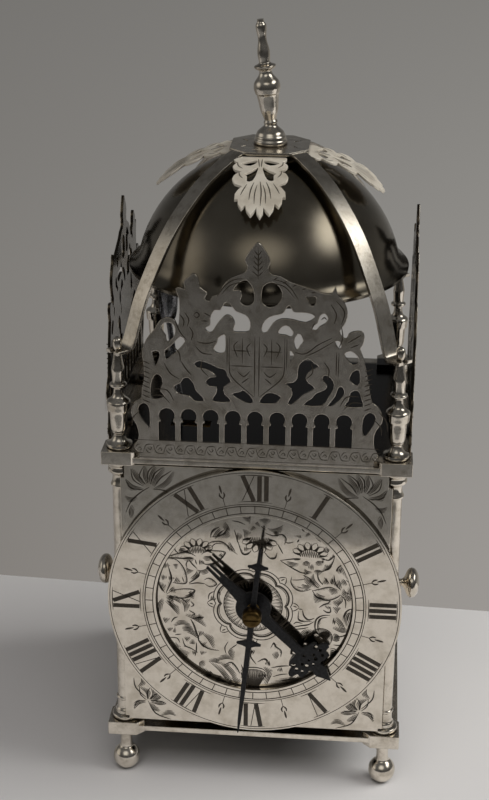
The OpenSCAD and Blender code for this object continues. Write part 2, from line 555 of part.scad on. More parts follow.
// Middle line of a strap arm, as parts of the way out to the corner and down to the finial
strap_bend = [[0.12, 0], [0.2, 0.003], [0.3, 0.047], [0.441, 0.138], [0.572, 0.268], [0.662, 0.382],
  [0.732, 0.497], [0.802, 0.633], [0.853, 0.744], [0.893, 0.867], [0.917, 0.944], [0.939, 0.989], [0.96, 1]];
strap_line = concat([for (p = strap_bend) [p[0] * corner_r, strap_mid_z - p[1] * (strap_mid_z - foot_plate_z)]],
  [[corner_r - 2.6, foot_plate_z], [corner_r + 3.5, foot_plate_z]]);
crown_half = 20.3;
crown_cut = 22;
module bell_strap() color(silver) difference() {
  union() {
    intersection() {
      translate([-crown_half, -crown_half, strap_z]) cube([2 * crown_half, 2 * crown_half, strap_t]);
      rotate(45) translate([-crown_cut, -crown_cut, strap_z]) cube([2 * crown_cut, 2 * crown_cut, strap_t]);
    }
    for (a = [45:90:315]) rotate(a) translate([0, strap_w / 2, 0]) rotate([90, 0, 0]) linear_extrude(strap_w)
      polygon(band(smooth(strap_line, 3), strap_t));
  }
  translate([0, 0, strap_z - 1]) cylinder(r = bolt_r + bore_fit, h = strap_t + 2);
  for (a = [45:90:315]) rotate(a) translate([corner_r, 0, foot_plate_z - 3]) {
    cylinder(r = spigot_top_r + 0.1, h = 6);
    translate([0, -spigot_top_r - 0.1, 0]) cube([8, 2 * spigot_top_r + 0.2, 6]);
  }
}
// One leaf lies along its length from the crown: [along, across] of one edge
leaf_edge = [[12, 3.4], [18, 2.6], [19, 6], [19.4, 11], [21.5, 13.4], [24.6, 12.8], [26, 11.2], [27.4, 12.6],
  [30, 13.8], [33, 12.6], [34.4, 9.4], [36, 12.2], [39.4, 13.9], [42.8, 12.6], [44.4, 9], [46, 10.6],
  [48.5, 12.4]];
leaf_petals = [[51.4, 12.6], [51.2, 11], [53.4, 10.8], [55.8, 9.2], [54.2, 7.2], [56.4, 6.6], [58.6, 4.6],
  [57.2, 3], [55.6, 1.7], [57.6, 1.6], [59.6, 0]];
leaf_holes = [[[24, 1.7], [25, 5.4], [27.2, 9.4], [28.6, 8.2], [29.4, 5], [27, 2.2]],
  [[31, 1.2], [34, 4.2], [36.6, 8], [38, 6.6], [41.4, 6.6], [41.4, 4.2], [38.6, 2.6], [34.6, 1.6]]];
leaf_arc_r = 65.5;
leaf_shift = 5;
leaf_turn = 4;
function both_sides(p) = concat(p, [for (i = [len(p) - 1:-1:0]) [p[i][0], -p[i][1]]]);
module leaf_shape() difference() {
  polygon(both_sides(concat(smooth(leaf_edge, 2), leaf_petals)));
  for (h = leaf_holes, s = [-1, 1]) scale([1, s]) polygon(smooth_loop(h));
}
module crown_leaves() color(silver) difference() {
  union() {
    translate([0, 0, bell_top_z]) cylinder(r = 16, h = leaf_t);
    for (a = [0:90:270]) rotate(a) intersection() {
      rotate(leaf_turn) translate([0, -leaf_shift, bell_top_z - 50]) linear_extrude(60) leaf_shape();
      translate([12, 25, bell_top_z + leaf_t - leaf_arc_r]) rotate([90, 0, 0]) difference() {
        cylinder(r = leaf_arc_r, h = 50, $fn = 128);
        translate([0, 0, -1]) cylinder(r = leaf_arc_r - leaf_t, h = 52, $fn = 128);
      }
    }
  }
  translate([0, 0, bell_top_z - 2]) cylinder(r = bolt_r + bore_fit, h = 6);
  for (a = [45:90:315]) rotate(a) translate([17, -strap_w / 2 - ease, bell_top_z - 50])
    cube([60, strap_w + 2 * ease, 60]);
}
finial_base = [[0, 8.3], [1, 8.7], [2.2, 8.6], [2.8, 8.2], [4.2, 8], [4.8, 7.6], [6.5, 6.8], [8, 5.2],
  [9.3, 3.7], [10.4, 3.2]];
finial_urn = [[-0.8, 2.8], [0.2, 3.2], [0.5, 3.6], [1.3, 3.6], [2, 3.2], [2.7, 3.2], [7.2, 4.6], [12.2, 5.3],
  [15.2, 5.8], [15.9, 6.3], [17.2, 6.6], [18.7, 6.9], [20.6, 6.7], [22.1, 6.1], [23.6, 4.9], [25.1, 3.8],
  [26.6, 3.3], [27.6, 3.6], [28.4, 5], [29.4, 5.6], [30.1, 5.3], [30.6, 4], [31.3, 3], [32.1, 2.9],
  [34.6, 3.2], [37.1, 3.2], [39.5, 2.8], [42, 2.3], [44.5, 2.2], [47, 2.6], [49.5, 2.8], [50.7, 2.5],
  [51.6, 1.9], [53.1, 1.7]];
module top_finial() color(silver) translate([0, 0, crown_z]) difference() {
  union() {
    turned(finial_base);
    translate([0, 0, 10.4]) rotate([0, -finial_lean, 0])
      turned([for (p = finial_urn) [p[0] * (top_finial_h - 10.4) / 53.1, p[1]]]);
  }
  translate([0, 0, -1]) cylinder(r = bolt_r + bore_fit, h = 8);
}
module bell_bolt() color(steel) {
  translate([0, 0, bell_top_z - bell_t - 6]) cylinder(r = bolt_r, h = crown_z - bell_top_z + bell_t + 12);
  translate([0, 0, bell_top_z - bell_t - 4.6]) difference() {
    cylinder(r = 5.5, h = 4, $fn = 6);
    translate([0, 0, -1]) cylinder(r = bolt_r + 0.02, h = 6);
  }
}

// Doors hung on pins in the corner blocks, each with a turned knob
door_gap = 0.5;
knob_y = -55;
knob_z = pillar_z + pillar_h * 0.5305;
knob_line_door = [[0, 3.6], [0.9, 3.6], [1.6, 2.1], [3.6, 1.9], [5, 3.4], [6.2, 6.2], [7.6, 7.7], [9, 8],
  [10.6, 7.4], [12, 5.4], [12.8, 2.4], [13, 0.4]];
// A door seen from outside: its pin at x = 0, the panel running to -x, outer face at -y
module door() color(silver) difference() {
  union() {
    translate([-door_half_w - door_axis[1], -door_t / 2, pillar_z + door_gap])
      cube([door_half_w + door_axis[1], door_t, pillar_h - 2 * door_gap]);
    translate([0, 0, pillar_z + door_gap]) cylinder(r = door_barrel_r, h = pillar_h - 2 * door_gap);
    translate([0, 0, pillar_z - pin_reach]) cylinder(r = door_pin_r, h = pillar_h + 2 * pin_reach);
  }
  translate([knob_y - door_axis[1], -3, knob_z]) rotate([-90, 0, 0]) cylinder(r = 1.3 + bore_fit, h = 6);
}
module door_knob() color(silver) translate([knob_y - door_axis[1], 0, knob_z]) rotate([90, 0, 0]) {
  translate([0, 0, door_t / 2]) turned(knob_line_door);
  translate([0, 0, -door_t / 2 - 0.4]) cylinder(r = 1.3, h = door_t + 1);
}
module on_right() translate([door_axis[0], door_axis[1], 0]) rotate(90) children();
module on_left() mirror([1, 0, 0]) on_right() children();
module on_back() translate([door_axis[1], door_axis[0], 0]) mirror([0, 1, 0]) children();
module left_door() on_left() door();
module right_door() on_right() door();
module back_door() on_back() door();
module left_door_knob() on_left() door_knob();
module right_door_knob() on_right() door_knob();
module back_door_knob() on_back() door_knob();
// Movement plates, seats and pillars; places are in x and z from the dial centre
pillar_places = [[-52, 61], [52, 61], [-50, -58], [50, -58]];
move_pillar_r = 3;
move_spigot_r = 1.6;
front_in_y = move_front_y + move_t;
module plate_bore(at, r) rod(at[0], at[1], move_front_y - 1, rear_y + 1, r + bore_fit);
module arbor(at, r, y1, y2) rod(at[0], at[1], y1, y2, r);
module move_plate(y) difference() {
  flat(y + move_t, move_t) translate([-move_half_w, -move_low]) square([2 * move_half_w, move_low + move_high]);
  for (p = pillar_places) plate_bore(p, move_spigot_r - bore_fit);
  for (p = [[0, 0], hammer_at, lever_at, pin_at]) plate_bore(p, arbor_r);
  for (p = [third_at, escape_at, hoop_at, fly_at]) plate_bore(p, thin_arbor_r);
  for (p = [going_at, strike_at]) plate_bore(p, winding_r);
}
module movement_front_plate() color(brass) at_dial() difference() {
  move_plate(move_front_y);
  plate_bore(pallet_at, arbor_r);
  plate_bore(minute_at, arbor_r);
}
module movement_back_plate() color(brass) at_dial() {
  difference() {
    move_plate(move_back_y);
    plate_bore(pallet_at, 3);
    plate_bore(count_at, arbor_r);
    for (c = click_places) plate_bore(c, click_pin_r);
    for (x = [-1, 1]) plate_bore(pallet_at + [x * cock_foot_x, 0], 1);
  }
}
module movement_pillars() color(brass) at_dial() for (p = pillar_places) {
  arbor(p, move_pillar_r, front_in_y, move_back_y);
  arbor(p, move_spigot_r, move_front_y - 2.4, rear_y + 2.4);
}
module movement_nuts() color(steel) at_dial() for (p = pillar_places, y = [move_front_y - 2, rear_y])
  translate([p[0], y, p[1]]) rotate([-90, 0, 0]) difference() {
    cylinder(r = 3.1, h = 2, $fn = 6);
    translate([0, 0, -1]) cylinder(r = move_spigot_r + 0.02, h = 4);
  }
seat_x = 38;
module movement_seats() color(brass) for (x = [-1, 1])
  translate([x * seat_x - 5, move_front_y - 1, deck_z]) cube([10, rear_y - move_front_y + 2, dial_z - move_low - deck_z]);

// Spring barrels and their winding arbors
drum_front_y = move_front_y + 5.2;
module barrel(at) color(brass) at_dial() translate([at[0], 0, at[1]]) difference() {
  union() {
    flat(great_y, wheel_t) wheel_teeth(great_n, great_m, 0);
    rod(0, 0, drum_front_y, great_y - wheel_t, barrel_r);
  }
  rod(0, 0, drum_front_y + 1.2, great_y - wheel_t, barrel_r - 1.2);
  rod(0, 0, drum_front_y - 1, great_y + 1, winding_r + bore_fit);
}
spring_turns = 7;
function coil_line(r) = [for (i = [0:spring_turns * 20]) polar(r - 17 * i / (spring_turns * 20), 18 * i)];
module mainspring(at) color(steel) at_dial() translate([at[0], 0, at[1]])
  flat(great_y - wheel_t - 0.6, great_y - wheel_t - drum_front_y - 2.4) intersection() {
    circle(barrel_r - 1.25);
    polygon(concat(coil_line(barrel_r - 1), [for (i = [spring_turns * 20:-1:0]) coil_line(barrel_r - 1.6)[i]]));
  }
ratchet_n = 14;
ratchet_r = 5.6;
ratchet_y = rear_y + 2;
module ratchet() polygon([for (i = [0:ratchet_n - 1]) each [polar(ratchet_r, 360 * i / ratchet_n),
  polar(ratchet_r - 1.3, 360 * (i + 0.08) / ratchet_n)]]);
module winding_arbor(at) color(steel) at_dial() translate([at[0], 0, at[1]]) {
  rod(0, 0, move_front_y, rear_y + 0.4, winding_r);
  flat(ratchet_y, 1.6) ratchet();
  translate([-1.7, rear_y + 0.3, -1.7]) cube([3.4, 14, 3.4]);
}
click_pin_r = 1.2;
click_reach = 9.6;
click_dir = 38;
click_places = [going_at + polar(click_reach, click_dir), strike_at + polar(click_reach, click_dir)];
module click(i) color(steel) at_dial() {
  c = click_places[i];
  arbor(c, click_pin_r, move_back_y, ratchet_y);
  flat(ratchet_y, 1.4) translate(c) {
    circle(2);
    rotate(click_dir + 130) polygon([[0, 1.9], [6.4, 1.4], [6.2, 0.5], [0, -1.9]]);
  }
}
module going_barrel() barrel(going_at);
module strike_barrel() barrel(strike_at);
module going_mainspring() mainspring(going_at);
module strike_mainspring() mainspring(strike_at);
module going_winding_arbor() winding_arbor(going_at);
module strike_winding_arbor() winding_arbor(strike_at);
module going_click() click(0);
module strike_click() click(1);

// Going train, pallets and pendulum
pinion_t = 2.6;
module pinion(y, n, m, phase) flat(y + 0.5, pinion_t) leaves(n, m, phase);
module centre_wheel() color(brass) at_dial() {
  arbor([0, 0], arbor_r, nut_y - nut_depth + ease, rear_y);
  pinion(great_y, leaf_n, great_m, centre_leaf_phase);
  flat(centre_y, wheel_t) crossed(15.4, 4, 4, 2.6) wheel_teeth(centre_n, centre_m, 0);
  rod(0, 0, centre_y - wheel_t - 1, centre_y + 1, 2.6);
}
module third_wheel() color(brass) at_dial() translate([third_at[0], 0, third_at[1]]) {
  rod(0, 0, move_front_y, rear_y, thin_arbor_r);
  pinion(centre_y, leaf_n, centre_m, third_leaf_phase);
  flat(third_y, 1.4) crossed(13.4, 3.4, 4, 2.2) wheel_teeth(third_n, third_m, 0);
}
module escape_wheel() color(brass) at_dial() translate([escape_at[0], 0, escape_at[1]]) {
  rod(0, 0, move_front_y, rear_y, thin_arbor_r);
  pinion(third_y, escape_leaf_n, third_m, escape_leaf_phase);
  flat(escape_y, 1.2) crossed(6.4, 2.4, 4, 1.4) polygon([for (i = [0:escape_n - 1]) each
    [polar(escape_r - 1.7, 360 * (i - 0.35) / escape_n), polar(escape_r, 360 * i / escape_n),
     polar(escape_r - 1.6, 360 * (i + 0.12) / escape_n)]]);
}
pallet_nib = [7.9, -pallet_rise + 8];
module pallets() color(steel) at_dial() translate([pallet_at[0], 0, pallet_at[1]]) {
  rod(0, 0, move_front_y, cock_y + cock_t, arbor_r);
  flat(escape_y, 1.4) {
    circle(2.4);
    for (s = [-1, 1]) {
      link([0, 0], [s * 6.6, -2.6], 1.8);
      link([s * 6.6, -2.6], [s * pallet_nib[0], pallet_nib[1]], 1.1);
    }
  }
}
cock_y = rear_y + 12.4;
cock_t = 2.4;
cock_foot_x = 12.5;
pendulum_y = rear_y + 8;
bob_r = 8;
module pendulum() color(brass) at_dial() translate([pallet_at[0], pendulum_y, pallet_at[1]]) {
  difference() {
    rod(0, 0, -1.4, 1.4, 2.6);
    rod(0, 0, -2, 2, arbor_r + 0.02);
  }
  translate([0, 0, -pendulum_l]) {
    translate([0, 0, bob_r - 3]) cylinder(r = 0.9, h = pendulum_l - bob_r + 1);
    rod(0, 0, -1.6, 1.6, bob_r);
    rod(0, 0, -2.6, 2.6, bob_r - 1.6);
    translate([0, 0, -bob_r - 2.5]) cylinder(r = 1.4, h = 4);
  }
}
module back_cock() color(brass) at_dial() translate([pallet_at[0], 0, pallet_at[1]]) difference() {
  union() {
    flat(cock_y + cock_t, cock_t) hull() for (s = [-1, 1]) translate([s * cock_foot_x, 0]) circle(3.2);
    for (s = [-1, 1]) rod(s * cock_foot_x, 0, rear_y, cock_y + 0.1, 2.4);
    for (s = [-1, 1]) rod(s * cock_foot_x, 0, move_back_y + 0.2, cock_y, 1);
  }
  rod(0, 0, cock_y - 1, cock_y + cock_t + 1, arbor_r + bore_fit);
}

// Motion work under the dial
cannon_y = move_front_y - 3.4;
hour_wheel_y = cannon_y - 4.2;
module cannon_pinion() color(steel) at_dial() difference() {
  union() {
    flat(cannon_y, 2) gear(cannon_n, minute_m, leaf_add, wheel_add + root_gap, 0);
    rod(0, 0, minute_hand_y, cannon_y + 0.8, cannon_r);
  }
  rod(0, 0, minute_hand_y - 1, cannon_y + 2, arbor_r + 0.02);
}
module minute_wheel() color(brass) at_dial() translate([minute_at[0], 0, minute_at[1]]) {
  rod(0, 0, hour_wheel_y - 2, front_in_y + 0.4, arbor_r);
  flat(cannon_y, wheel_t) crossed(7.2, 3, 3, 2) wheel_teeth(minute_n, minute_m, minute_phase);
  flat(cannon_y - wheel_t + 0.1, cannon_y - hour_wheel_y + 0.6) leaves(minute_leaf_n, hour_m, 0);
  for (i = [0:2]) rotate([0, 120 * i, 0]) rod(8.2, 0, cannon_y - 0.1, cannon_y + 2.2, 0.45);
}
module hour_wheel() color(brass) at_dial() difference() {
  union() {
    flat(hour_wheel_y, 1.4) wheel_teeth(hour_n, hour_m, hour_phase);
    rod(0, 0, hour_hand_y - hand_t, hour_wheel_y, hour_pipe_r);
  }
  rod(0, 0, hour_hand_y - 3, hour_wheel_y + 1, cannon_r + bore_fit);
}

// Strike train, hammer and levers
module pin_wheel() color(brass) at_dial() translate([pin_at[0], 0, pin_at[1]]) {
  rod(0, 0, move_front_y, rear_y + 2.6, arbor_r);
  pinion(great_y, leaf_n, great_m, pin_leaf_phase);
  flat(centre_y, wheel_t) crossed(9.4, 3.2, 4, 2.2) wheel_teeth(pin_wheel_n, centre_m, 0);
  for (i = [0:pin_n - 1]) rotate([0, 360 * i / pin_n, 0]) rod(11.2, 0, centre_y - wheel_t - 2.6, centre_y, 0.6);
  flat(rear_y + 2.6, 2.2) leaves(leaf_n, great_m, 0);
}
module hoop_wheel() color(brass) at_dial() translate([hoop_at[0], 0, hoop_at[1]]) {
  rod(0, 0, move_front_y, rear_y, thin_arbor_r);
  pinion(centre_y, leaf_n, centre_m, hoop_leaf_phase);
  flat(third_y, 1.4) wheel_teeth(hoop_n, third_m, 0);
  flat(third_y + 1.3, 1.4) difference() {
    circle(6.6);
    circle(5.6);
    rotate(80) translate([5, -1.6]) square([3, 3.2]);
  }
}
fly_r = 9;
module fly() color(brass) at_dial() translate([fly_at[0], 0, fly_at[1]]) {
  rod(0, 0, move_front_y, rear_y, thin_arbor_r);
  pinion(third_y, fly_leaf_n, third_m, fly_leaf_phase);
  rod(0, 0, -53, -33, 1.4);
  translate([-fly_r, -52, -0.3]) cube([2 * fly_r, 18, 0.6]);
}
// Notches of the count wheel come after one blow, two, three and so on to twelve
function blows(h) = h * (h + 1) / 2;
module count_wheel() color(brass) at_dial() translate([count_at[0], 0, count_at[1]]) {
  rod(0, 0, move_back_y - 1.2, rear_y + 2.4, arbor_r);
  rod(0, 0, move_back_y - 1.2, move_back_y - ease, 1.9);
  flat(rear_y + 2.2, 1.4) crossed(15, 3.4, 4, 2.4) wheel_teeth(count_n, great_m, count_phase);
  flat(rear_y + 3.4, 1.3) difference() {
    circle(17.8);
    circle(16.2);
    for (h = [1:12]) rotate(90 + 360 * blows(h) / count_n) translate([15.5, -0.6]) square([3, 1.2]);
  }
}
hammer_head_x = -50;
hammer_head_y = -30;
hammer_head_z = [bell_centre_z - 14, bell_centre_z + 12.5];
hammer_r = 5.4;
stem_r = 1.5;
knee_x = -44.5;
module segment(a, b, r) translate(a) rotate([0, atan2(b[0] - a[0], b[2] - a[2]), 0]) cylinder(r = r, h = norm(b - a));
module hammer() color(steel) {
  at_dial() translate([hammer_at[0], 0, hammer_at[1]]) {
    rod(0, 0, move_front_y, rear_y, arbor_r);
    rod(0, 0, hammer_head_y - 3, hammer_head_y + 3, 2.6);
    flat(centre_y - wheel_t - 0.8, 1.8) link([0, 0], 5 * (pin_at - hammer_at) / norm(pin_at - hammer_at), 1.8);
  }
  foot = [hammer_at[0], hammer_head_y, dial_z + hammer_at[1]];
  knee = [knee_x, hammer_head_y, top_plate_z - 26.3];
  bend = [knee_x, hammer_head_y, roof_z + 16.7];
  neck = [hammer_head_x, hammer_head_y, hammer_head_z[0] + 1];
  segment(foot, knee, stem_r);
  segment(knee, bend, stem_r);
  segment(bend, neck, stem_r);
  for (p = [knee, bend]) translate(p) sphere(r = stem_r + 0.25);
  translate([hammer_head_x, hammer_head_y, hammer_head_z[0]]) turned([for (p = [[0, 2.2], [1, 3.6], [4, 4.6],
    [10, 5.2], [16, 5.4], [21, 5.2], [24.5, 4.6], [26.5, 3.2]]) [p[0] * (hammer_head_z[1] - hammer_head_z[0]) / 26.5,
    p[1] * hammer_r / 5.4]]);
}
spring_coil_r = 2.4;
module hammer_spring() color(steel) at_dial() translate([hammer_at[0], 0, hammer_at[1]]) {
  difference() {
    rod(0, 0, -50, -40, spring_coil_r + 0.5);
    rod(0, 0, -51, -39, spring_coil_r - 0.5);
  }
  rod(0, -spring_coil_r, front_in_y, -49, 0.4);
}
module strike_lever() color(steel) at_dial() {
  arbor(lever_at, arbor_r, move_front_y - 2.4, rear_y + 4);
  flat(move_front_y - 0.7, 1.2) {
    link(lever_at, lever_elbow, 2.6);
    link(lever_elbow, lift_tip, 2);
  }
  flat(third_y + 1.2, 1) link(lever_at, [-16.4, 41], 2.6);
  flat(rear_y + 3.4, 1) {
    link(lever_at, count_at + [3, 22.4], 2.6);
    link(count_at + [3, 22.4], count_at + [2, 19.4], 1.4);
  }
}
lever_elbow = [-9, 40];
lift_tip = [1.6, 15.2];

bottom_plate();
top_plate();
front_left_pillar();
front_right_pillar();
back_left_pillar();
back_right_pillar();
front_left_finial();
front_right_finial();
back_left_finial();
back_right_finial();
ball_feet();
dial_plate();
chapter_ring();
hour_hand();
minute_hand();
hand_nut();
front_fret();
left_fret();
right_fret();
fret_screws();
bell();
bell_strap();
crown_leaves();
top_finial();
bell_bolt();
left_door();
right_door();
back_door();
left_door_knob();
right_door_knob();
back_door_knob();
movement_front_plate();
movement_back_plate();
movement_pillars();
movement_nuts();
movement_seats();
going_barrel();
going_mainspring();
going_winding_arbor();
centre_wheel();
third_wheel();
escape_wheel();
pallets();
pendulum();
back_cock();
cannon_pinion();
minute_wheel();
hour_wheel();
strike_barrel();
strike_mainspring();
strike_winding_arbor();
pin_wheel();
hoop_wheel();
fly();
count_wheel();
hammer();
hammer_spring();
strike_lever();
going_click();
strike_click();
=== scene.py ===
import math

import bpy
from mathutils import Matrix, Vector


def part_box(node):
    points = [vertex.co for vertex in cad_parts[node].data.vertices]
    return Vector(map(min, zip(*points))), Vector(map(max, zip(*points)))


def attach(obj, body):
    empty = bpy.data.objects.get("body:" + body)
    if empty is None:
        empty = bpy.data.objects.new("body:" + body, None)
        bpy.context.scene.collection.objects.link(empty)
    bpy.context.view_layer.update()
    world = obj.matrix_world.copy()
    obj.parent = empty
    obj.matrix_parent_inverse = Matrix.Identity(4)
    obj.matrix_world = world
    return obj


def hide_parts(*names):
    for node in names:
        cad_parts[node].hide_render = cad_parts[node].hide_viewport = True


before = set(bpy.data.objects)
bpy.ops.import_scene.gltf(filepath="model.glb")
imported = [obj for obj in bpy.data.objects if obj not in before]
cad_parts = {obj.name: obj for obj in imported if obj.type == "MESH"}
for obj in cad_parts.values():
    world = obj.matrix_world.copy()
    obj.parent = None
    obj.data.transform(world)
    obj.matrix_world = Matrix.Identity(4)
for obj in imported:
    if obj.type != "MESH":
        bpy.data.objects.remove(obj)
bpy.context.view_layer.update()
bpy.context.scene.view_settings.view_transform = "Standard"
MM = 0.001


# Camera
# It stands a little to the right of the clock and above it, and looks down on the dial.
camera_place = (0.0554, -0.8209, 0.5308)
camera_turn = -0.0824
camera_tip = 0.3886
camera_roll = 0.0081
camera_lens = 72.9

forward = Vector((math.sin(camera_turn) * math.cos(camera_tip),
                  math.cos(camera_turn) * math.cos(camera_tip), -math.sin(camera_tip)))
level = Vector((math.cos(camera_turn), -math.sin(camera_turn), 0))
upright = level.cross(forward)
camera_x = level * math.cos(camera_roll) + upright * math.sin(camera_roll)
camera_y = upright * math.cos(camera_roll) - level * math.sin(camera_roll)
camera = bpy.data.objects.new("camera", bpy.data.cameras.new("camera"))
camera.data.lens = camera_lens
camera.data.sensor_width = 36
camera.data.clip_start = 0.01
camera.matrix_world = Matrix.Translation(camera_place) @ Matrix(
    (camera_x, camera_y, -forward)).transposed().to_4x4()
bpy.context.scene.collection.objects.link(camera)
bpy.context.scene.camera = camera


# Table, room and lamps
# A pale painted table top, in a dim grey room, with one tall window to the right. The polished
# metal shows all of it: the table in the lower dial, the dark room in the frets and the bell.
def colour(code):
    """A hex sRGB colour as linear red, green, blue and alpha."""
    parts = [int(code[i:i + 2], 16) / 255 for i in (1, 3, 5)]
    return [p / 12.92 if p <= 0.04045 else ((p + 0.055) / 1.055) ** 2.4 for p in parts] + [1]


def add(tree, kind, stops=(), **given):
    """Adds a shader node. A capital name sets or links a socket, a small name sets a setting.
    A colour ramp takes its stops: each is a place and a hex colour or a grey level."""
    node = tree.nodes.new("ShaderNode" + kind)
    for name, value in given.items():
        if name[0].islower():
            setattr(node, name, value)
            continue
        words = name.replace("_", " ")
        socket = node.inputs[int(words[1:])] if words[1:].isdigit() else node.inputs[words]
        if isinstance(value, bpy.types.NodeSocket):
            tree.links.new(value, socket)
        else:
            socket.default_value = value
    for i, (place, shade) in enumerate(stops):
        band = node.color_ramp.elements
        element = band[i] if i < 2 else band.new(place)
        element.position = place
        element.color = colour(shade) if isinstance(shade, str) else (shade, shade, shade, 1)
    return node


def new_material(name):
    """A material with an empty tree: the material, its tree and its output node."""
    material = bpy.data.materials.new(name)
    material.use_nodes = True
    material.node_tree.nodes.clear()
    return material, material.node_tree, add(material.node_tree, "OutputMaterial")


def made(name, points, faces, material):
    """A mesh object from points in metres and faces."""
    mesh = bpy.data.meshes.new(name)
    mesh.from_pydata(points, [], faces)
    mesh.materials.append(material)
    piece = bpy.data.objects.new(name, mesh)
    bpy.context.scene.collection.objects.link(piece)
    return piece


# Matt emulsion paint: no shine, and broad patches that differ by a shade.
table_front, table_back, table_skew, table_half_w = -0.368, 0.13, 0.07, 1.3
matt_paint, tree, out = new_material("matt_paint")
paint_patches = add(tree, "TexNoise", Scale=3.0, Detail=2.0)
table_paint = add(tree, "ValToRGB", [(0.3, "#DDDCDD"), (0.7, "#E3E2E3")], Fac=paint_patches.outputs["Fac"])
tree.links.new(add(tree, "BsdfPrincipled", Base_Color=table_paint.outputs[0], Roughness=0.55).outputs[0],
               out.inputs["Surface"])
table = made("table", [(-table_half_w, table_front, 0), (table_half_w, table_front, 0),
                       (table_half_w, table_back - table_skew, 0), (-table_half_w, table_back + table_skew, 0)],
             [(0, 1, 2, 3)], matt_paint)

# The room's own colour goes by height: 0 is straight down, 0.5 the horizon and 1 straight up.
world = bpy.data.worlds.new("room")
bpy.context.scene.world = world
world.use_nodes = True
room = world.node_tree
room.nodes.clear()
way = add(room, "TexCoord").outputs["Generated"]
ways = add(room, "SeparateXYZ", Vector=way)
height = add(room, "MapRange", Value=ways.outputs["Z"], From_Min=-1.0, From_Max=1.0)
behind = add(room, "MapRange", Value=ways.outputs["Y"], From_Min=-0.2, From_Max=0.5)
across = add(room, "MapRange", Value=ways.outputs["X"], From_Min=-0.35, From_Max=0.25)
before_clock = add(room, "ValToRGB", [(0.20, 0.18), (0.276, 0.175), (0.294, 0.16), (0.310, 0.115),
                                      (0.327, 0.072), (0.350, 0.045), (0.50, 0.05), (0.62, 0.08),
                                      (0.80, 0.12), (1.0, 0.10)], Fac=height.outputs[0])
wall_left = add(room, "ValToRGB", [(0.265, "#797570"), (0.35, "#797672"), (0.43, "#716F6C"), (0.64, 0.09),
                                   (0.85, 0.06), (1.0, 0.10)], Fac=height.outputs[0])
wall_right = add(room, "ValToRGB", [(0.265, "#A5A19D"), (0.35, "#989692"), (0.43, "#868480"), (0.64, 0.12),
                                    (0.85, 0.06), (1.0, 0.10)], Fac=height.outputs[0])
past_clock = add(room, "Mix", data_type="RGBA", I0=across.outputs[0], I6=wall_left.outputs[0],
                 I7=wall_right.outputs[0])
room_colour = add(room, "Mix", data_type="RGBA", I0=behind.outputs[0], I6=before_clock.outputs[0],
                  I7=past_clock.outputs[2])
# Matt surfaces get less of the room's light than polished ones show, so the floor keeps its shadow.
ray = add(room, "LightPath").outputs
seen = add(room, "Math", operation="MAXIMUM", I0=ray["Is Camera Ray"], I1=ray["Is Glossy Ray"])
seen = add(room, "Math", operation="MAXIMUM", I0=seen.outputs[0], I1=ray["Is Transmission Ray"])
room_strength = add(room, "MapRange", Value=seen.outputs[0], To_Min=0.25, To_Max=1.0)
room_light = add(room, "Background", Color=room_colour.outputs[2], Strength=room_strength.outputs[0])


def bright_patch(toward, spread, strength, tint):
    """A soft oval of light in the room, which the polished metal reflects without a hard edge."""
    off = add(room, "VectorMath", operation="SUBTRACT", I0=way, I1=toward)
    off = add(room, "VectorMath", operation="DIVIDE", I0=off.outputs[0], I1=spread)
    off = add(room, "VectorMath", operation="LENGTH", I0=off.outputs[0])
    glow = add(room, "MapRange", interpolation_type="SMOOTHSTEP", Value=off.outputs["Value"], From_Min=0.25,
               From_Max=1.0, To_Min=strength, To_Max=0.0)
    light = add(room, "Background", Color=colour(tint), Strength=glow.outputs[0])
    return add(room, "AddShader", I0=room_light.outputs[0], I1=light.outputs[0])


# The window, the lit ceiling in front, and the pale wall at the left
room_light = bright_patch((0.72, -0.06, 0.63), (0.25, 0.48, 0.40), 3.0, "#FFFEFA")
room_light = bright_patch((-0.05, -0.76, 0.64), (0.55, 0.42, 0.30), 0.7, "#FFFBF2")
room_light = bright_patch((-0.92, -0.15, 0.28), (0.30, 0.60, 0.50), 0.50, "#FFF8EC")
add(room, "OutputWorld", Surface=room_light.outputs[0])


def lamp(name, place, aim, size, power, tint):
    """A soft rectangular lamp for the matt surfaces: polished metal reflects the room instead."""
    light = bpy.data.lights.new(name, "AREA")
    light.shape = "RECTANGLE"
    light.size, light.size_y = size
    light.energy = power
    light.color = colour(tint)[:3]
    piece = bpy.data.objects.new(name, light)
    piece.location = place
    piece.rotation_euler = (Vector(aim) - Vector(place)).to_track_quat("-Z", "Y").to_euler()
    piece.visible_glossy = False
    bpy.context.scene.collection.objects.link(piece)


lamp("window", (0.95, 0.0, 0.80), (0.1, 0, 0), (0.8, 0.8), 8.6, "#FFFDF8")
lamp("ceiling", (0.0, -0.8, 1.5), (0, 0, 0.1), (1.4, 1.0), 8.5, "#FFFBF8")


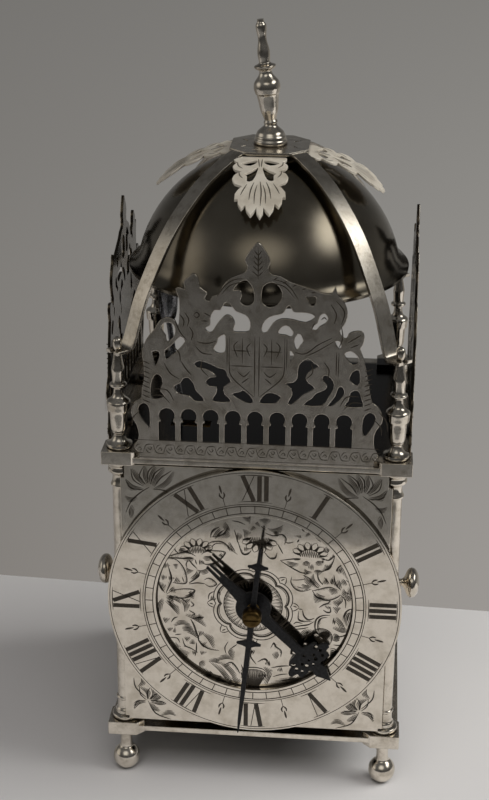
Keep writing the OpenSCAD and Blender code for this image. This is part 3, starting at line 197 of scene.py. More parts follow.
# Silver plate
# The case is brass, plated with silver and polished by hand. Years of rubbing leave faint cloth
# marks on open faces, and a warm brown tarnish, with painted shade, darkens the grooves where the cloth can't
# reach and where parts stand close.
def silver_plate(name, polish, tarnish_and_shade, bright="#E6DED1", dull="#CDC4B5", rub=0.04, groove_mm=2.2,
                 stain=0.45):
    """Silver-plated brass. Polish is its roughness; the third argument is the share of brown tarnish and
    painted shade in grooves and where parts stand within groove_mm, stain that of the brown blooms on open
    faces, rub the depth of cloth marks."""
    material, tree, out = new_material(name)
    place = add(tree, "TexCoord").outputs["Object"]
    # Cloth marks are 0.05 mm apart. They are drawn ten times as coarse, so that they show.
    cloud_mm, rub_mm, dent_mm, stain_mm = 9, 0.5, 7, 6
    cloud = add(tree, "TexNoise", Vector=place, Scale=1000 / cloud_mm, Detail=5.0, Roughness=0.6)
    along = add(tree, "Mapping", Vector=place, Scale=(1.0, 1.0, 0.12), Rotation=(0.3, 0.2, 0.0))
    rubbed = add(tree, "TexNoise", Vector=along.outputs[0], Scale=1000 / rub_mm, Detail=3.0)
    dents = add(tree, "TexNoise", Vector=place, Scale=1000 / dent_mm, Detail=1.0)
    skin = add(tree, "ValToRGB", [(0.30, dull), (0.55, bright)], Fac=cloud.outputs["Fac"]).outputs[0]
    rough = add(tree, "MapRange", Value=rubbed.outputs["Fac"], From_Min=0.3, From_Max=0.7,
                To_Min=polish * 0.93, To_Max=polish * 1.12).outputs[0]
    stains = add(tree, "TexNoise", Vector=place, Scale=1000 / stain_mm, Detail=8.0, Roughness=0.7)
    share = add(tree, "ValToRGB", [(0.50, 0.0), (0.68, stain)], Fac=stains.outputs["Fac"]).outputs[0]
    skin = add(tree, "Mix", data_type="RGBA", I0=share, I6=skin, I7=colour("#75664F")).outputs[2]
    # Brown tarnish and painted shade: ambient occlusion darkens the colour in grooves and where other parts
    # stand close.
    if tarnish_and_shade:
        groove = add(tree, "AmbientOcclusion", samples=8, Distance=groove_mm * MM)
        tarnish_shade_share = add(tree, "ValToRGB", [(0.30, tarnish_and_shade), (0.80, 0.0)], Fac=groove.outputs["AO"]).outputs[0]
        skin = add(tree, "Mix", data_type="RGBA", I0=tarnish_shade_share, I6=skin, I7=colour("#3A2F20")).outputs[2]
        rough = add(tree, "Math", operation="MULTIPLY_ADD", I0=tarnish_shade_share, I1=0.3, I2=rough).outputs[0]
    bump = add(tree, "Bump", Strength=0.05, Distance=0.3 * MM, Height=dents.outputs["Fac"])
    bump = add(tree, "Bump", Strength=rub, Distance=0.02 * MM, Height=rubbed.outputs["Fac"],
               Normal=bump.outputs[0])
    shader = add(tree, "BsdfPrincipled", Base_Color=skin, Metallic=1.0, Roughness=rough,
                 Normal=bump.outputs[0])
    tree.links.new(shader.outputs[0], out.inputs["Surface"])
    return material


def paint_in_shade(material, where, tint):
    """Paints shade into a plated material: a darker colour where a mask says."""
    tree = material.node_tree
    shader = tree.nodes["Principled BSDF"]
    unshaded_colour = shader.inputs["Base Color"].links[0].from_socket
    both = add(tree, "Mix", data_type="RGBA", I0=where, I6=unshaded_colour, I7=colour(tint))
    tree.links.new(both.outputs[2], shader.inputs["Base Color"])


def dress(node, material, edge=0.0, angle=32):
    """Gives a carried-over part its finish and, where edge is given, the worn edge of its metal."""
    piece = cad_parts[node]
    mesh = piece.data
    if "custom_normal" in mesh.attributes:
        mesh.attributes.remove(mesh.attributes["custom_normal"])
    mesh.materials.clear()
    mesh.materials.append(material)
    mesh.polygons.foreach_set("use_smooth", [True] * len(mesh.polygons))
    weld = piece.modifiers.new("weld", "WELD")
    weld.merge_threshold = 0.002 * MM
    if edge:
        flat = piece.modifiers.new("flat", "DECIMATE")
        flat.decimate_type = "DISSOLVE"
        flat.angle_limit = math.radians(0.6)
        worn = piece.modifiers.new("worn_edge", "BEVEL")
        worn.width = edge * MM
        worn.segments = 2
        worn.angle_limit = math.radians(angle)
        worn.use_clamp_overlap = False
        piece.modifiers.new("normals", "WEIGHTED_NORMAL").keep_sharp = True
    else:
        piece.modifiers.new("creases", "EDGE_SPLIT").split_angle = math.radians(angle)
    return piece


# Top and bottom plates
# Each is cast brass with four square corner blocks, filed flat and plated. The top plate's face
# under the bell and the bottom plate's underside are painted nearly black: painted shade under the
# bell and under the clock. Seen through the frets' openings, the first makes them dark.
filed_silver = silver_plate("filed_silver", 0.20, 0.7)
roof_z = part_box("front_fret")[0].z
block_drop, face_skin_mm = 2.8, 0.4
under_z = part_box("bottom_plate")[0].z + block_drop * MM
# Painted shade: both faces go near black within 69 mm of the middle and fade back to the plating by 72 mm.
dark_to, shade_gone_from = 69, 72
tree = filed_silver.node_tree
plate_place = add(tree, "SeparateXYZ", Vector=add(tree, "TexCoord").outputs["Object"])
above = add(tree, "Math", operation="GREATER_THAN", I0=plate_place.outputs["Z"], I1=roof_z - face_skin_mm * MM)
below = add(tree, "Math", operation="LESS_THAN", I0=plate_place.outputs["Z"], I1=under_z + face_skin_mm * MM)
painted_shade_mask = add(tree, "Math", operation="MAXIMUM", I0=above.outputs[0], I1=below.outputs[0]).outputs[0]
for axis in ("X", "Y"):
    off_middle = add(tree, "Math", operation="ABSOLUTE", I0=plate_place.outputs[axis])
    within = add(tree, "MapRange", Value=off_middle.outputs[0], From_Min=dark_to * MM,
                 From_Max=shade_gone_from * MM, To_Min=1.0, To_Max=0.0)
    painted_shade_mask = add(tree, "Math", operation="MULTIPLY", I0=painted_shade_mask, I1=within.outputs[0]).outputs[0]
paint_in_shade(filed_silver, painted_shade_mask, "#1A1611")
dress("bottom_plate", filed_silver, 0.35)
dress("top_plate", filed_silver, 0.35)


# Pillars, finials and feet
# They are turned from brass rod between centres, plated and burnished. Each ring has a crisp edge
# and a bright line, and brown tarnish, with painted shade, darkens the grooves between the rings.
turned_silver = silver_plate("turned_silver", 0.15, 0.9)
for place in ("front_left", "front_right", "back_left", "back_right"):
    dress(place + "_pillar", turned_silver)
    dress(place + "_finial", turned_silver)
dress("ball_feet", turned_silver)
dress("top_finial", turned_silver)


# Engraved lines
# An engraver's burin cuts a groove that swells and thins, and black wax is rubbed into it. Each
# groove here is a strip of wax with its own width along the line. The wax is dull and brown-black.
engravers_wax, tree, out = new_material("engravers_wax")
wax_place = add(tree, "TexCoord").outputs["Object"]
wax_crumb_mm = 0.8
wax_crumbs = add(tree, "TexNoise", Vector=wax_place, Scale=1000 / wax_crumb_mm, Detail=3.0)
wax_skin = add(tree, "ValToRGB", [(0.3, "#1E1A14"), (0.7, "#4A4134")], Fac=wax_crumbs.outputs["Fac"])
tree.links.new(add(tree, "BsdfPrincipled", Base_Color=wax_skin.outputs[0], Roughness=0.5).outputs[0],
               out.inputs["Surface"])
wax_lift = 0.04


def smooth(points, steps=5):
    """A curve through chosen points."""
    run = [points[0]] + list(points) + [points[-1]]
    line = []
    for a, b, c, d in zip(run, run[1:], run[2:], run[3:]):
        for k in range(steps):
            t = k / steps
            line.append(tuple(0.5 * (2 * q + (r - p) * t + (2 * p - 5 * q + 4 * r - s) * t * t
                                     + (3 * q - p - 3 * r + s) * t ** 3)
                              for p, q, r, s in zip(a, b, c, d)))
    return line + [tuple(points[-1])]


def even(t):
    return 1.0


def swell(t):
    return 0.25 + 0.75 * math.sin(math.pi * t)


def cut(t):
    return 1.0 - 0.85 * t


class Engraving:
    """Grooves drawn in two dimensions, which lie on a face once they are laid."""

    def __init__(self):
        self.points = []
        self.faces = []

    def line(self, points, width, shape=even, curved=True, closed=False):
        path = [Vector(p) for p in (smooth(points) if curved and len(points) > 2 else points)]
        if closed:
            path = path[:-1]
        count, start = len(path), len(self.points)
        for i, point in enumerate(path):
            before = path[i - 1] if i or closed else point
            after = path[(i + 1) % count] if i < count - 1 or closed else point
            way = after - before
            if way.length < 1e-9:
                way = Vector((1, 0))
            way.normalize()
            half = Vector((-way.y, way.x)) * width / 2 * shape(i / max(count - 1, 1))
            self.points += [point + half, point - half]
        for i in range(count if closed else count - 1):
            a, b = start + 2 * i, start + 2 * ((i + 1) % count)
            self.faces.append((a, a + 1, b + 1, b))

    def ring(self, radius, width, count=180):
        self.line([polar(radius, 360 * i / count) for i in range(count + 1)], width, curved=False, closed=True)

    def lay(self, name, body, onto):
        piece = made(name, [onto(p.x, p.y) for p in self.points], self.faces, engravers_wax)
        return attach(piece, body)


def polar(radius, degrees):
    a = math.radians(degrees)
    return radius * math.cos(a), radius * math.sin(a)


# Chapter ring
# A flat ring on the front plate, silvered and rubbed with chalk until it mirrors the room. The
# hour numerals and the quarter track are cut deep and filled with black wax.
# Its tarnish share also paints shade: dark round the chapter ring's edges and under the hands, where they stand
# close over the silver.
dial_silver = silver_plate("dial_silver", 0.085, 0.8, rub=0.02, groove_mm=1.6, stain=0.16)
dress("chapter_ring", dial_silver, 0.2)
ring_low, ring_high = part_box("chapter_ring")
dial_x, dial_z = 0.0, (ring_low.z + ring_high.z) / 2
ring_face = ring_low.y
bar_pitch, bar_w, hair_w = 3.5, 2.35, 0.42
bar_inset, hair_shift, serif_reach = 1.1, 0.5, 1.2
chapter_in, chapter_out = 60.2, 74.2
track_in, track_out, track_line = 53.2, 57.3, 0.45


def on_dial(face):
    """Lays a drawing in millimetres from the dial centre on a front face."""
    return lambda x, z: (dial_x + x * MM, face - wax_lift * MM, dial_z + z * MM)


def round_dial(radius, across, angle):
    """The place of something drawn upright at twelve, turned to a clock angle."""
    a = math.radians(angle)
    return (across * math.cos(a) + radius * math.sin(a), radius * math.cos(a) - across * math.sin(a))


chapters = Engraving()
letter_width = {"I": bar_pitch, "V": 7.4, "X": 8.0}
numerals = ["XII", "I", "II", "III", "IIII", "V", "VI", "VII", "VIII", "IX", "X", "XI"]
for hour, numeral in enumerate(numerals):
    total = sum(letter_width[letter] for letter in numeral)
    at = -total / 2
    for letter in numeral:
        w = letter_width[letter]
        left, right, middle = at + bar_inset, at + w - bar_inset, at + w / 2
        strokes = {"I": [(middle, middle, bar_w)],
                   "V": [(left, middle, bar_w), (right, middle + hair_shift, hair_w)],
                   "X": [(left, right, bar_w), (right, left, hair_w)]}[letter]
        for top, foot, width in strokes:
            chapters.line([round_dial(chapter_out, top, hour * 30), round_dial(chapter_in, foot, hour * 30)],
                          width)
        at += w
    reach = total / 2 + serif_reach
    for radius in (chapter_in - 0.3, chapter_out + 0.4):
        chapters.line([round_dial(math.sqrt(radius ** 2 - across ** 2), across, hour * 30)
                       for across in (-reach, -reach / 2, 0, reach / 2, reach)], 0.5, swell)
    # Half-hour mark: a stem, two leaves and a bud
    half = hour * 30 + 15
    chapters.line([round_dial(58.6, 0, half), round_dial(63.0, 0, half)], 0.35)
    for side in (-1, 1):
        chapters.line([round_dial(62.8, 0, half), round_dial(64.6, side * 1.2, half),
                       round_dial(66.4, side * 1.1, half)], 0.9, swell)
    chapters.line([round_dial(65.8, 0, half), round_dial(68.6, 0, half), round_dial(70.6, 0, half)], 1.1, swell)
for radius, width in ((75.9, 0.35), (58.4, 0.35), (track_out, 0.55), (track_in, 0.5)):
    chapters.ring(radius, width)
for quarter in range(48):
    chapters.line([round_dial(track_in, 0, quarter * 7.5), round_dial(track_out, 0, quarter * 7.5)], track_line)
chapters.lay("chapter_numerals", "frame", on_dial(ring_face))


# Front plate
# One sheet behind the ring, polished like it, and engraved with flowers, leaves and a rosette
# inside the ring and with sprays of leaves in its corners. Every cut is given in millimetres.
dress("dial_plate", dial_silver, 0.25)
plate_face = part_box("dial_plate")[0].y
# Cuts under thin_w open by thin_gain. Wider ones than shade_w are shading, or than long_shade_w
# where they are long: fine cuts of fine_w, shade_gap apart, each shorter by shade_trim of it.
thin_w, thin_gain, shade_w, long_shade_w = 0.8, 1.3, 0.9, 1.05
fine_w, fine_less, fine_share, shade_gap, shade_trim = 0.58, 0.05, 0.42, 0.72, 0.09
feather_w, feather_mm = 0.34, 2.0


def turned(x, z, angle):
    """A map from a motif's own place to the dial: angle is clockwise from upright."""
    a = math.radians(angle)
    return lambda u, v: (x + u * math.cos(a) + v * math.sin(a), z + v * math.cos(a) - u * math.sin(a))


def mirrored(side, x=0.0, z=0.0):
    """A map for a motif that is drawn for the right side: side is -1 on the left."""
    return lambda u, v: (side * (x + u), z + v)


def cuts(art, to, *rows, feather=0.0):
    """Burin cuts that swell and thin. Each row is a width, then the places the cut goes through. A
    wide one is shading: fine cuts side by side, each a little shorter than the last. A feather is
    the length of the fine slanting cuts along the inner side of a long outline."""
    for width, *places in rows:
        run = [Vector(to(u, v)) for u, v in zip(places[::2], places[1::2])]
        if width < thin_w:
            width *= thin_gain
            path = [Vector(p) for p in smooth(run, 6)] if feather and len(run) > 3 else []
            middle = sum(run, Vector((0, 0))) / len(run)
            for i in range(2, len(path) - 2):
                ahead = (path[i + 1] - path[i - 1]).normalized()
                inward = Vector((-ahead.y, ahead.x))
                if inward.dot(middle - path[i]) < 0:
                    inward.negate()
                reach = feather * math.sin(math.pi * i / len(path)) * (0.6 + 0.1 * ((i * 7) % 5))
                art.line([path[i], path[i] + (inward + ahead * 0.8).normalized() * reach], feather_w, cut)
        side = run[-1] - run[0]
        side = Vector((-side.y, side.x)).normalized() if side.length > 0.01 else Vector((1, 0))
        if side.dot((run[0] + run[-1]) / 2) > 0:
            side.negate()
        plain = width < (long_shade_w if len(run) > 3 else shade_w)
        fine = 1 if plain else math.ceil(width / fine_share) + 1
        path = smooth(run, 4) if len(run) > 2 else [run[0].lerp(run[-1], i / 8) for i in range(9)]
        for k in range(fine):
            trim = int(len(path) * shade_trim * k)
            kept = [Vector(p) + side * (k * shade_gap) for p in path[trim:len(path) - trim]]
            if len(kept) > 1:
                art.line(kept, width if plain else fine_w - fine_less * k, swell, curved=False)


def seed_head(art, to, half_w, half_h):
    """A flower's domed middle: a netted half oval with dark wedges cut between its rays."""
    def oval(grow_w, grow_h, a):
        return to((half_w + grow_w) * math.cos(a), (half_h + grow_h) * math.sin(a))

    art.line([oval(0, 0, math.radians(t)) for t in range(0, 181, 15)], 0.5)
    for i in range(-5, 6):
        u = i * half_w / 5.6
        top = half_h * math.sqrt(max(0.0, 1 - (u / half_w) ** 2))
        art.line([to(u, -0.6), to(u + 0.5, top)], 0.3)
        art.line([to(u, -0.6), to(u - 0.5, top)], 0.3)
    for t in (8, 34, 60, 88, 116, 144, 170):
        a = math.radians(t)
        for turn in (-0.10, 0.0, 0.10):
            short = 12 * abs(turn)
            art.line([oval(0.1, 0.1, a + turn), oval(4.0 - short, 3.8 - short, a + turn * 0.4)], 0.75, cut)
    for t in (21, 47, 74, 102, 130, 157):
        a = math.radians(t)
        for turn in (-0.2, 0.2):
            art.line([oval(1.4, 1.4, a + turn), oval(3.4, 3.2, a + turn * 0.8), oval(4.6, 4.4, a)], 0.38, swell)


flowers = Engraving()
here = turned(0, 0, 0)

# Rosette: two scalloped lines, a leaf at each lobe, and rays cut in from a ring
rosette = turned(-0.6, -1.8, 0)
rosette_ring, ray_ends = 15.4, ((10.2, 15.6), (13.6, 14.9), (12.4, 15.3))
for size, width, depth in ((17.2, 0.95, 2.4), (16.4, 0.35, 2.2), (19.6, 0.5, 2.0)):
    flowers.line([rosette(*polar(size + depth * abs(math.sin(math.radians(4 * t))) ** 0.7, t))
                  for t in range(0, 361, 3)], width, curved=False, closed=True)
for t in range(0, 360, 45):
    leaf = turned(*rosette(*polar(20.8, 90 - t)), t)
    cuts(flowers, leaf, (0.4, -2.6, -0.5, -1.6, 2, 0.2, 3.4), (0.4, 2.6, -0.5, 1.8, 1.6, 0.2, 3.4),
         (0.5, -0.6, 0.2, 0, 2.2))
for i in range(120):
    near, far = ray_ends[i % 3]
    flowers.line([rosette(*polar(far, i * 3)), rosette(*polar(near, i * 3))], 0.62, cut)
flowers.line([rosette(*polar(rosette_ring, t)) for t in range(0, 361, 6)], 0.5, curved=False, closed=True)
# A dark wax line just inside the chapter ring's inner edge: a painted shadow of the ring's edge on the plate.
flowers.ring(51.3, 0.7)

# Flower at the upper left, with its stem
seed_head(flowers, turned(-30.1, 27.8, -6), 4.7, 3.9)
cuts(flowers, here, feather=feather_mm, *(
    (0.5, -27.8, 26.6, -25.4, 28.6, -20.7, 29.2, -15.4, 28.6, -17.2, 25.1, -19.5, 22.5, -23.1, 20.7, -26.6,
     21.3, -28.1, 23.1), (1.1, -26.8, 25, -24.8, 25.6, -22, 25.3), (1, -18.9, 26.3, -17.2, 27.8),
    (1.4, -24.4, 21.2, -21.2, 21.9, -18.2, 23.3), (0.8, -24.8, 28.9, -21.9, 27.8),
    (0.5, -30.7, 25.4, -33.1, 26.9, -36.6, 27.5, -40.1, 26.6, -44.8, 24.8, -46.8, 23.9),
    (0.6, -46.6, 23.9, -41.9, 23.9, -36.6, 23.8, -31.9, 24.2), (1.1, -37.5, 24, -34.2, 24.6, -31.6, 24.2),
    (0.9, -36.4, 29.8, -38.8, 29.2, -39.6, 27.6), (0.5, -41.6, 30.5, -41.4, 28.2, -39.6, 26.8),
    (0.6, -34.2, 23.1, -32.5, 20.7, -30.1, 18.2), (0.5, -34.8, 22.8, -35.8, 20.6, -35.4, 18.8),
    (1.6, -35.8, 18.6, -34.2, 17.4, -32, 17), (1.1, -30.4, 17.5, -27.8, 17.1, -25.1, 18.4, -24, 20.3),
    (1, -28.8, 23.6, -28.7, 20.5), (0.7, -28.4, 16.9, -29.5, 14.2, -31.3, 11.9, -34.4, 9.4),
    (0.7, -30.1, 16.9, -31, 14.8, -33.6, 12.2), (0.5, -31.2, 23.6, -30.2, 20.6)))
# Leaves beside it
cuts(flowers, here, feather=feather_mm, *(
    (0.5, -23.1, 36.6, -22.6, 39.5, -21.3, 41.6, -18.4, 43.1),
    (1.5, -20.3, 36.4, -17, 38.6, -14.8, 41, -13.8, 43.4), (1, -21.9, 37, -20.2, 40, -18, 42.2),
    (0.5, -22.8, 37, -18.4, 38, -15.4, 40, -14.2, 43), (0.9, -15.6, 46, -14, 43.6, -13, 41.2),
    (0.5, -20.8, 36, -18.6, 39.2, -15.8, 41.6),
    (0.5, -24.8, 32.5, -22.5, 34.2, -18.4, 34.8, -15.4, 33.6, -13, 31, -9, 27.6),
    (0.4, -22.8, 30.8, -20.6, 33.2, -17, 33.4), (1.2, -25, 31.6, -22.8, 31),
    (0.7, -13.2, 34.6, -11.6, 31.6, -10.2, 29.2),
    (0.5, -46.6, 23.1, -41.3, 23.1, -37.8, 19.5, -36, 14.8, -35.7, 9.5, -40.1, 8.9, -43.1, 9.5),
    (1.1, -42.1, 9.5, -40.7, 12.6), (0.4, -45.6, 21, -44.4, 15.2, -43.2, 10.6),
    (0.8, -34.4, 8.9, -30.1, 9.8, -26, 9.5),
    (0.4, -26.4, 11.6, -24.4, 13, -21.9, 12.2, -19.8, 9.5, -23.1, 7.8, -26, 9.3),
    (0.9, -42.6, 20, -40, 20.2), (0.5, -24.2, 0.1, -23.6, 3.6, -20.7, 5.4), (0.9, -23, -0.4, -22.4, 2.6),
    (0.6, -18.9, 6, -17.8, 3.4), (0.4, -38, 13, -37, 10)))
# Flower at the top, which faces down
seed_head(flowers, turned(2.4, 37.6, 180), 5.2, 4.2)
# The first, widest cut, just inside the chapter ring at the top, is a painted shadow of the ring's edge.
cuts(flowers, here, feather=feather_mm, *(
    (2.2, -6.6, 49.2, -3.6, 48.9, -2.4, 50.4), (1.4, -6.2, 42.4, -5.2, 40.2, -5.6, 37.8),
    (1.2, -9.2, 40.2, -9, 37.8, -8.6, 36), (1.2, -4.2, 38.4, -3.6, 35.4), (1.1, -5.4, 32, -5.1, 29.6),
    (0.5, -9, 36, -7.6, 31, -6.2, 28, -3.6, 28, -1.8, 30.4), (0.5, -10.8, 41.8, -9.6, 38, -9, 34.4),
    (1.5, 6.4, 43.4, 9.2, 43.1, 12.7, 44.4, 14.4, 45.8), (0.9, 9.6, 41.4, 12.4, 41.7),
    (1.8, 2, 48.2, 5.1, 48.8, 8, 48.2), (0.9, 0, 45.6, 1.6, 47),
    (0.5, 5, 41, 9, 39.4, 14, 40.4, 16.2, 37.8, 15.2, 34.6), (1.5, 8.8, 36.6, 7.6, 34.4, 8.2, 32.4),
    (0.5, 11.6, 35, 13.4, 31.6, 14.6, 29.2), (0.5, 4.8, 30, 7.6, 26.4, 10.6, 26.4, 11.6, 29.8),
    (0.5, 15.6, 36, 17.4, 35.6, 20, 36.4), (1.2, -1.4, 44.6, 0.4, 43), (0.8, 3, 44.6, 5.4, 42.6),
    (0.5, -12, 47, -8.4, 46.4, -5, 45)))
# Flower at the upper right, with its stem and a leaf
seed_head(flowers, turned(28.5, 28.4, 3), 5.3, 3.9)
cuts(flowers, here, feather=feather_mm, *(
    (0.5, 33.9, 27.8, 38, 26.6, 40.4, 28.4, 41.6, 30.3),
    (0.5, 41.5, 30.1, 40.6, 26, 39.2, 23.1, 35.6, 20.1, 30.9, 19.7),
    (1.2, 31.4, 24.6, 33, 25.8, 35.8, 25.7), (1.7, 31, 20.2, 33, 20.6, 35.2, 20),
    (1.4, 36, 20.4, 38.4, 21.4, 40, 23.4), (0.9, 34.6, 27.6, 36.2, 27.4),
    (0.6, 23.9, 26.8, 20.4, 26.6, 13.2, 25.3),
    (0.8, 13.3, 25.2, 17.4, 22.5, 21.5, 20.1, 25.1, 18.6, 29.8, 18.9),
    (1.2, 16.6, 24.9, 19.6, 24.3, 22.8, 23.7), (1.1, 24.8, 24.2, 26.8, 25.4, 28.8, 24.3),
    (1.9, 25.8, 21, 27.2, 19.8, 29.6, 19.4), (1, 30.1, 24, 30.4, 20.6), (0.6, 20.4, 26, 23.6, 26.4),
    (0.7, 30.6, 18.4, 31.2, 14.8, 34.5, 11), (0.6, 32.7, 18.9, 33.3, 15.4, 35.6, 12.2),
    (0.6, 25.1, 17.2, 28.6, 15.6, 31.5, 11.9, 33.4, 10), (0.9, 26, 16.4, 29, 13.8, 31, 11.2),
    (0.5, 19.4, 16.2, 19, 12.5, 21.5, 8.9, 25.1, 7.8, 29.8, 9.3), (1.2, 24.6, 12, 27.4, 11.2, 29.6, 10.9),
    (0.4, 19.4, 14.2, 23, 14.4, 26.8, 15.2), (0.4, 22, 10.4, 26, 9.4), (1.3, 23.2, 38.8, 23.4, 40.4),
    (0.8, 21.8, 36.2, 22.8, 38), (1.2, 37.6, 34.6, 38.2, 32.4, 37.2, 30.8), (1, 27, 42.4, 28.6, 40.6),
    (0.5, 31, 40, 34, 37), (0.8, 24, 44, 25.4, 42.6)))
# Lily on the right
cuts(flowers, here, feather=feather_mm, *(
    (0.6, 30.1, 8.9, 32.7, 4.8, 38, 3.1, 42.7, 4.8, 45.1, 6.8),
    (0.5, 30.4, 8.4, 34.5, 9.7, 39.2, 11, 43.9, 9.3), (2, 30.8, 7.6, 32.4, 5.4, 35.2, 4.2, 38.4, 3.9),
    (2.4, 38.8, 9.7, 41.4, 9.7, 43.6, 8.2), (1.2, 32.4, 7.2, 34.6, 5.8, 37, 5.4),
    (0.6, 45.1, 9.5, 42.2, 13.2, 41.2, 18.4), (1.1, 41.4, 17.4, 41.6, 14.6, 42.6, 12.4),
    (1.3, 37.2, 16.4, 38, 14.4, 39, 12.8), (0.5, 38.6, 13.4, 36.2, 16.6),
    (1.5, 45.4, 10.6, 44.6, 13.2, 43.8, 15.6), (2.1, 48, 12.6, 47.2, 14.6, 46, 16.2),
    (1.4, 48.6, 15.6, 48.2, 20, 46.6, 23.2, 44.4, 24.8), (0.9, 44.2, 19, 45, 22.8),
    (0.6, 42.4, 20.4, 43.4, 22.8, 45.2, 24.4), (1, 46.2, 7.4, 49.8, 5.6, 51, 4.2),
    (0.9, 49.8, 11.4, 50.8, 8, 50.8, 5.6), (1.7, 45.4, 6.2, 46, 3.2, 44, 0.6, 43.6, -0.6),
    (0.5, 45, 6.8, 47.6, 3.4, 47.8, -1), (1.2, 39.6, -0.4, 39, -2.2),
    (0.9, 36.2, -2.7, 38, -3.9, 40, -3.6, 39.8, -0.6), (1.3, 43.2, -4.6, 44, -2.4, 45.4, -0.8),
    (0.5, 34, -1.4, 36, 0.4, 38.6, 1.6, 40, 2.6), (0.5, 47.6, 15.6, 50.2, 13, 50.6, 9),
    (0.7, 46.4, 10.4, 47.6, 8.4, 49.4, 7.8), (0.8, 40.4, 15.8, 40.2, 12.8)))
# Stem, fruit and leaves at the lower right
cuts(flowers, here, feather=feather_mm, *(
    (0.9, 39.8, -5.6, 35.6, -6.2, 32.7, -8.6, 32.1, -13.3, 33.3, -17.6),
    (0.5, 38.6, -6.9, 35.4, -7.6, 33.9, -9.6, 33.6, -13.4, 34.6, -17.2),
    (1.1, 43.3, -6.6, 46.2, -9.8, 48, -14), (0.6, 42, -7, 41.4, -10.6), (0.8, 42.6, -8.4, 42.2, -11),
    (0.9, 47.4, -9, 47.5, -4.5, 49.4, -2, 51.4, -1.2), (1, 51.5, -1.6, 51.7, -6.2, 49.9, -13.2),
    (0.9, 48.6, -11.6, 49, -6, 50.6, -3.4), (1, 25.4, -3.4, 26.2, -6.8, 28.6, -9, 31.8, -7.8),
    (0.5, 23.3, -2.7, 25.4, -3), (0.5, 23.4, -4, 23.2, -8.6, 25.2, -10.2, 30.4, -9.8),
    (0.8, 20.4, -14, 24.5, -12.8, 28.6, -11.9, 31.6, -9.8), (0.5, 20, -15.2, 25, -14.6, 28.6, -13.6),
    (0.5, 20.8, -12, 22.4, -10.8, 25.6, -11.4), (1, 25.4, -20.8, 27.2, -17.6, 30.7, -15.2),
    (1.6, 30.4, -15.4, 35.1, -13.8, 39.4, -15.2, 41.4, -18.6, 40.6, -22.6),
    (2.2, 34.6, -15.6, 38.4, -16.6, 40, -20), (1.6, 33.6, -17, 37.4, -18.6, 38.8, -22),
    (1, 28, -20.2, 29.6, -17.8, 31.6, -16.6), (1.2, 32, -17.4, 35.6, -20.2, 36.4, -23),
    (0.6, 26.8, -21.6, 28.4, -19, 30.4, -17.8), (0.9, 41.5, -13.3, 46.2, -15.4, 49.6, -14.8),
    (1.5, 41.2, -20.2, 43.6, -21, 45.4, -20), (0.6, 42.1, -23.4, 46.8, -23, 50.4, -17.6),
    (0.6, 43, -18.2, 46.4, -18, 50, -15.8), (0.7, 42.2, -16.4, 44.4, -17.6, 45.2, -19.6),
    (0.5, 40.4, -25.4, 43.3, -26, 44, -29, 42.8, -32.4, 40.2, -33.4), (1, 44, -26.4, 45, -29, 43.8, -32)))
# The netting of the fruit
for i in range(6):
    cuts(flowers, here, (0.4, 40.6, -26.4 - i * 1.1, 43.8, -27.4 - i),
         (0.4, 41 + i * 0.55, -26.2, 40.6 + i * 0.5, -32.4))
# Lily on the left
cuts(flowers, here, feather=feather_mm, *(
    (0.5, -46.3, 2.2, -42.5, 4.8, -36, 6, -31.3, 5.4, -33.1, 2.5, -36.6, 0.4, -41.9, 0.7, -46.3, 1.6),
    (2.2, -36.6, 1.6, -33.8, 2.9, -31.8, 5), (1.8, -34.8, 3.6, -33, 4.6),
    (1.5, -45, 4, -43.8, 5.6, -42.3, 6.8), (0.6, -46.6, 2.8, -44.8, 7.2, -43.4, 11.9, -44.8, 17.8),
    (0.6, -47.2, 3.1, -49.8, 7.2, -50.3, 11.6), (1.7, -50, 9.2, -49.6, 6.4, -48.3, 3.8),
    (1.6, -47.4, 20.8, -47.3, 17.6), (1.3, -44.8, 13, -44.7, 10.6), (0.5, -50, 12, -49, 16, -47.4, 21.4),
    (0.9, -48.6, 13.8, -48.4, 10.4), (0.9, -48.6, -0.4, -50.7, -3.9, -51, -9.8),
    (1.3, -46.9, -2, -42.5, -6.7, -40.1, -9.7), (0.9, -46.6, 0.2, -43, -1.6),
    (0.9, -46.2, -0.8, -43.3, -4.6), (1, -45.2, -3.4, -41.8, -7.4),
    (0.7, -45.8, 0.8, -41.6, -1, -38.6, -3), (1.5, -38.6, -0.8, -36.9, -4.4, -36.8, -8),
    (0.6, -40.6, 0.2, -38.2, 0, -35.6, -2.6), (1, -36.8, -0.4, -35.2, -2.8),
    (0.6, -33.6, -1.3, -31.9, -3.4, -33.4, -4.6), (0.6, -34.4, -6.8, -31.4, -8.8, -33.2, -9.7),
    (0.8, -50.6, -10.6, -49.8, -14.6)))
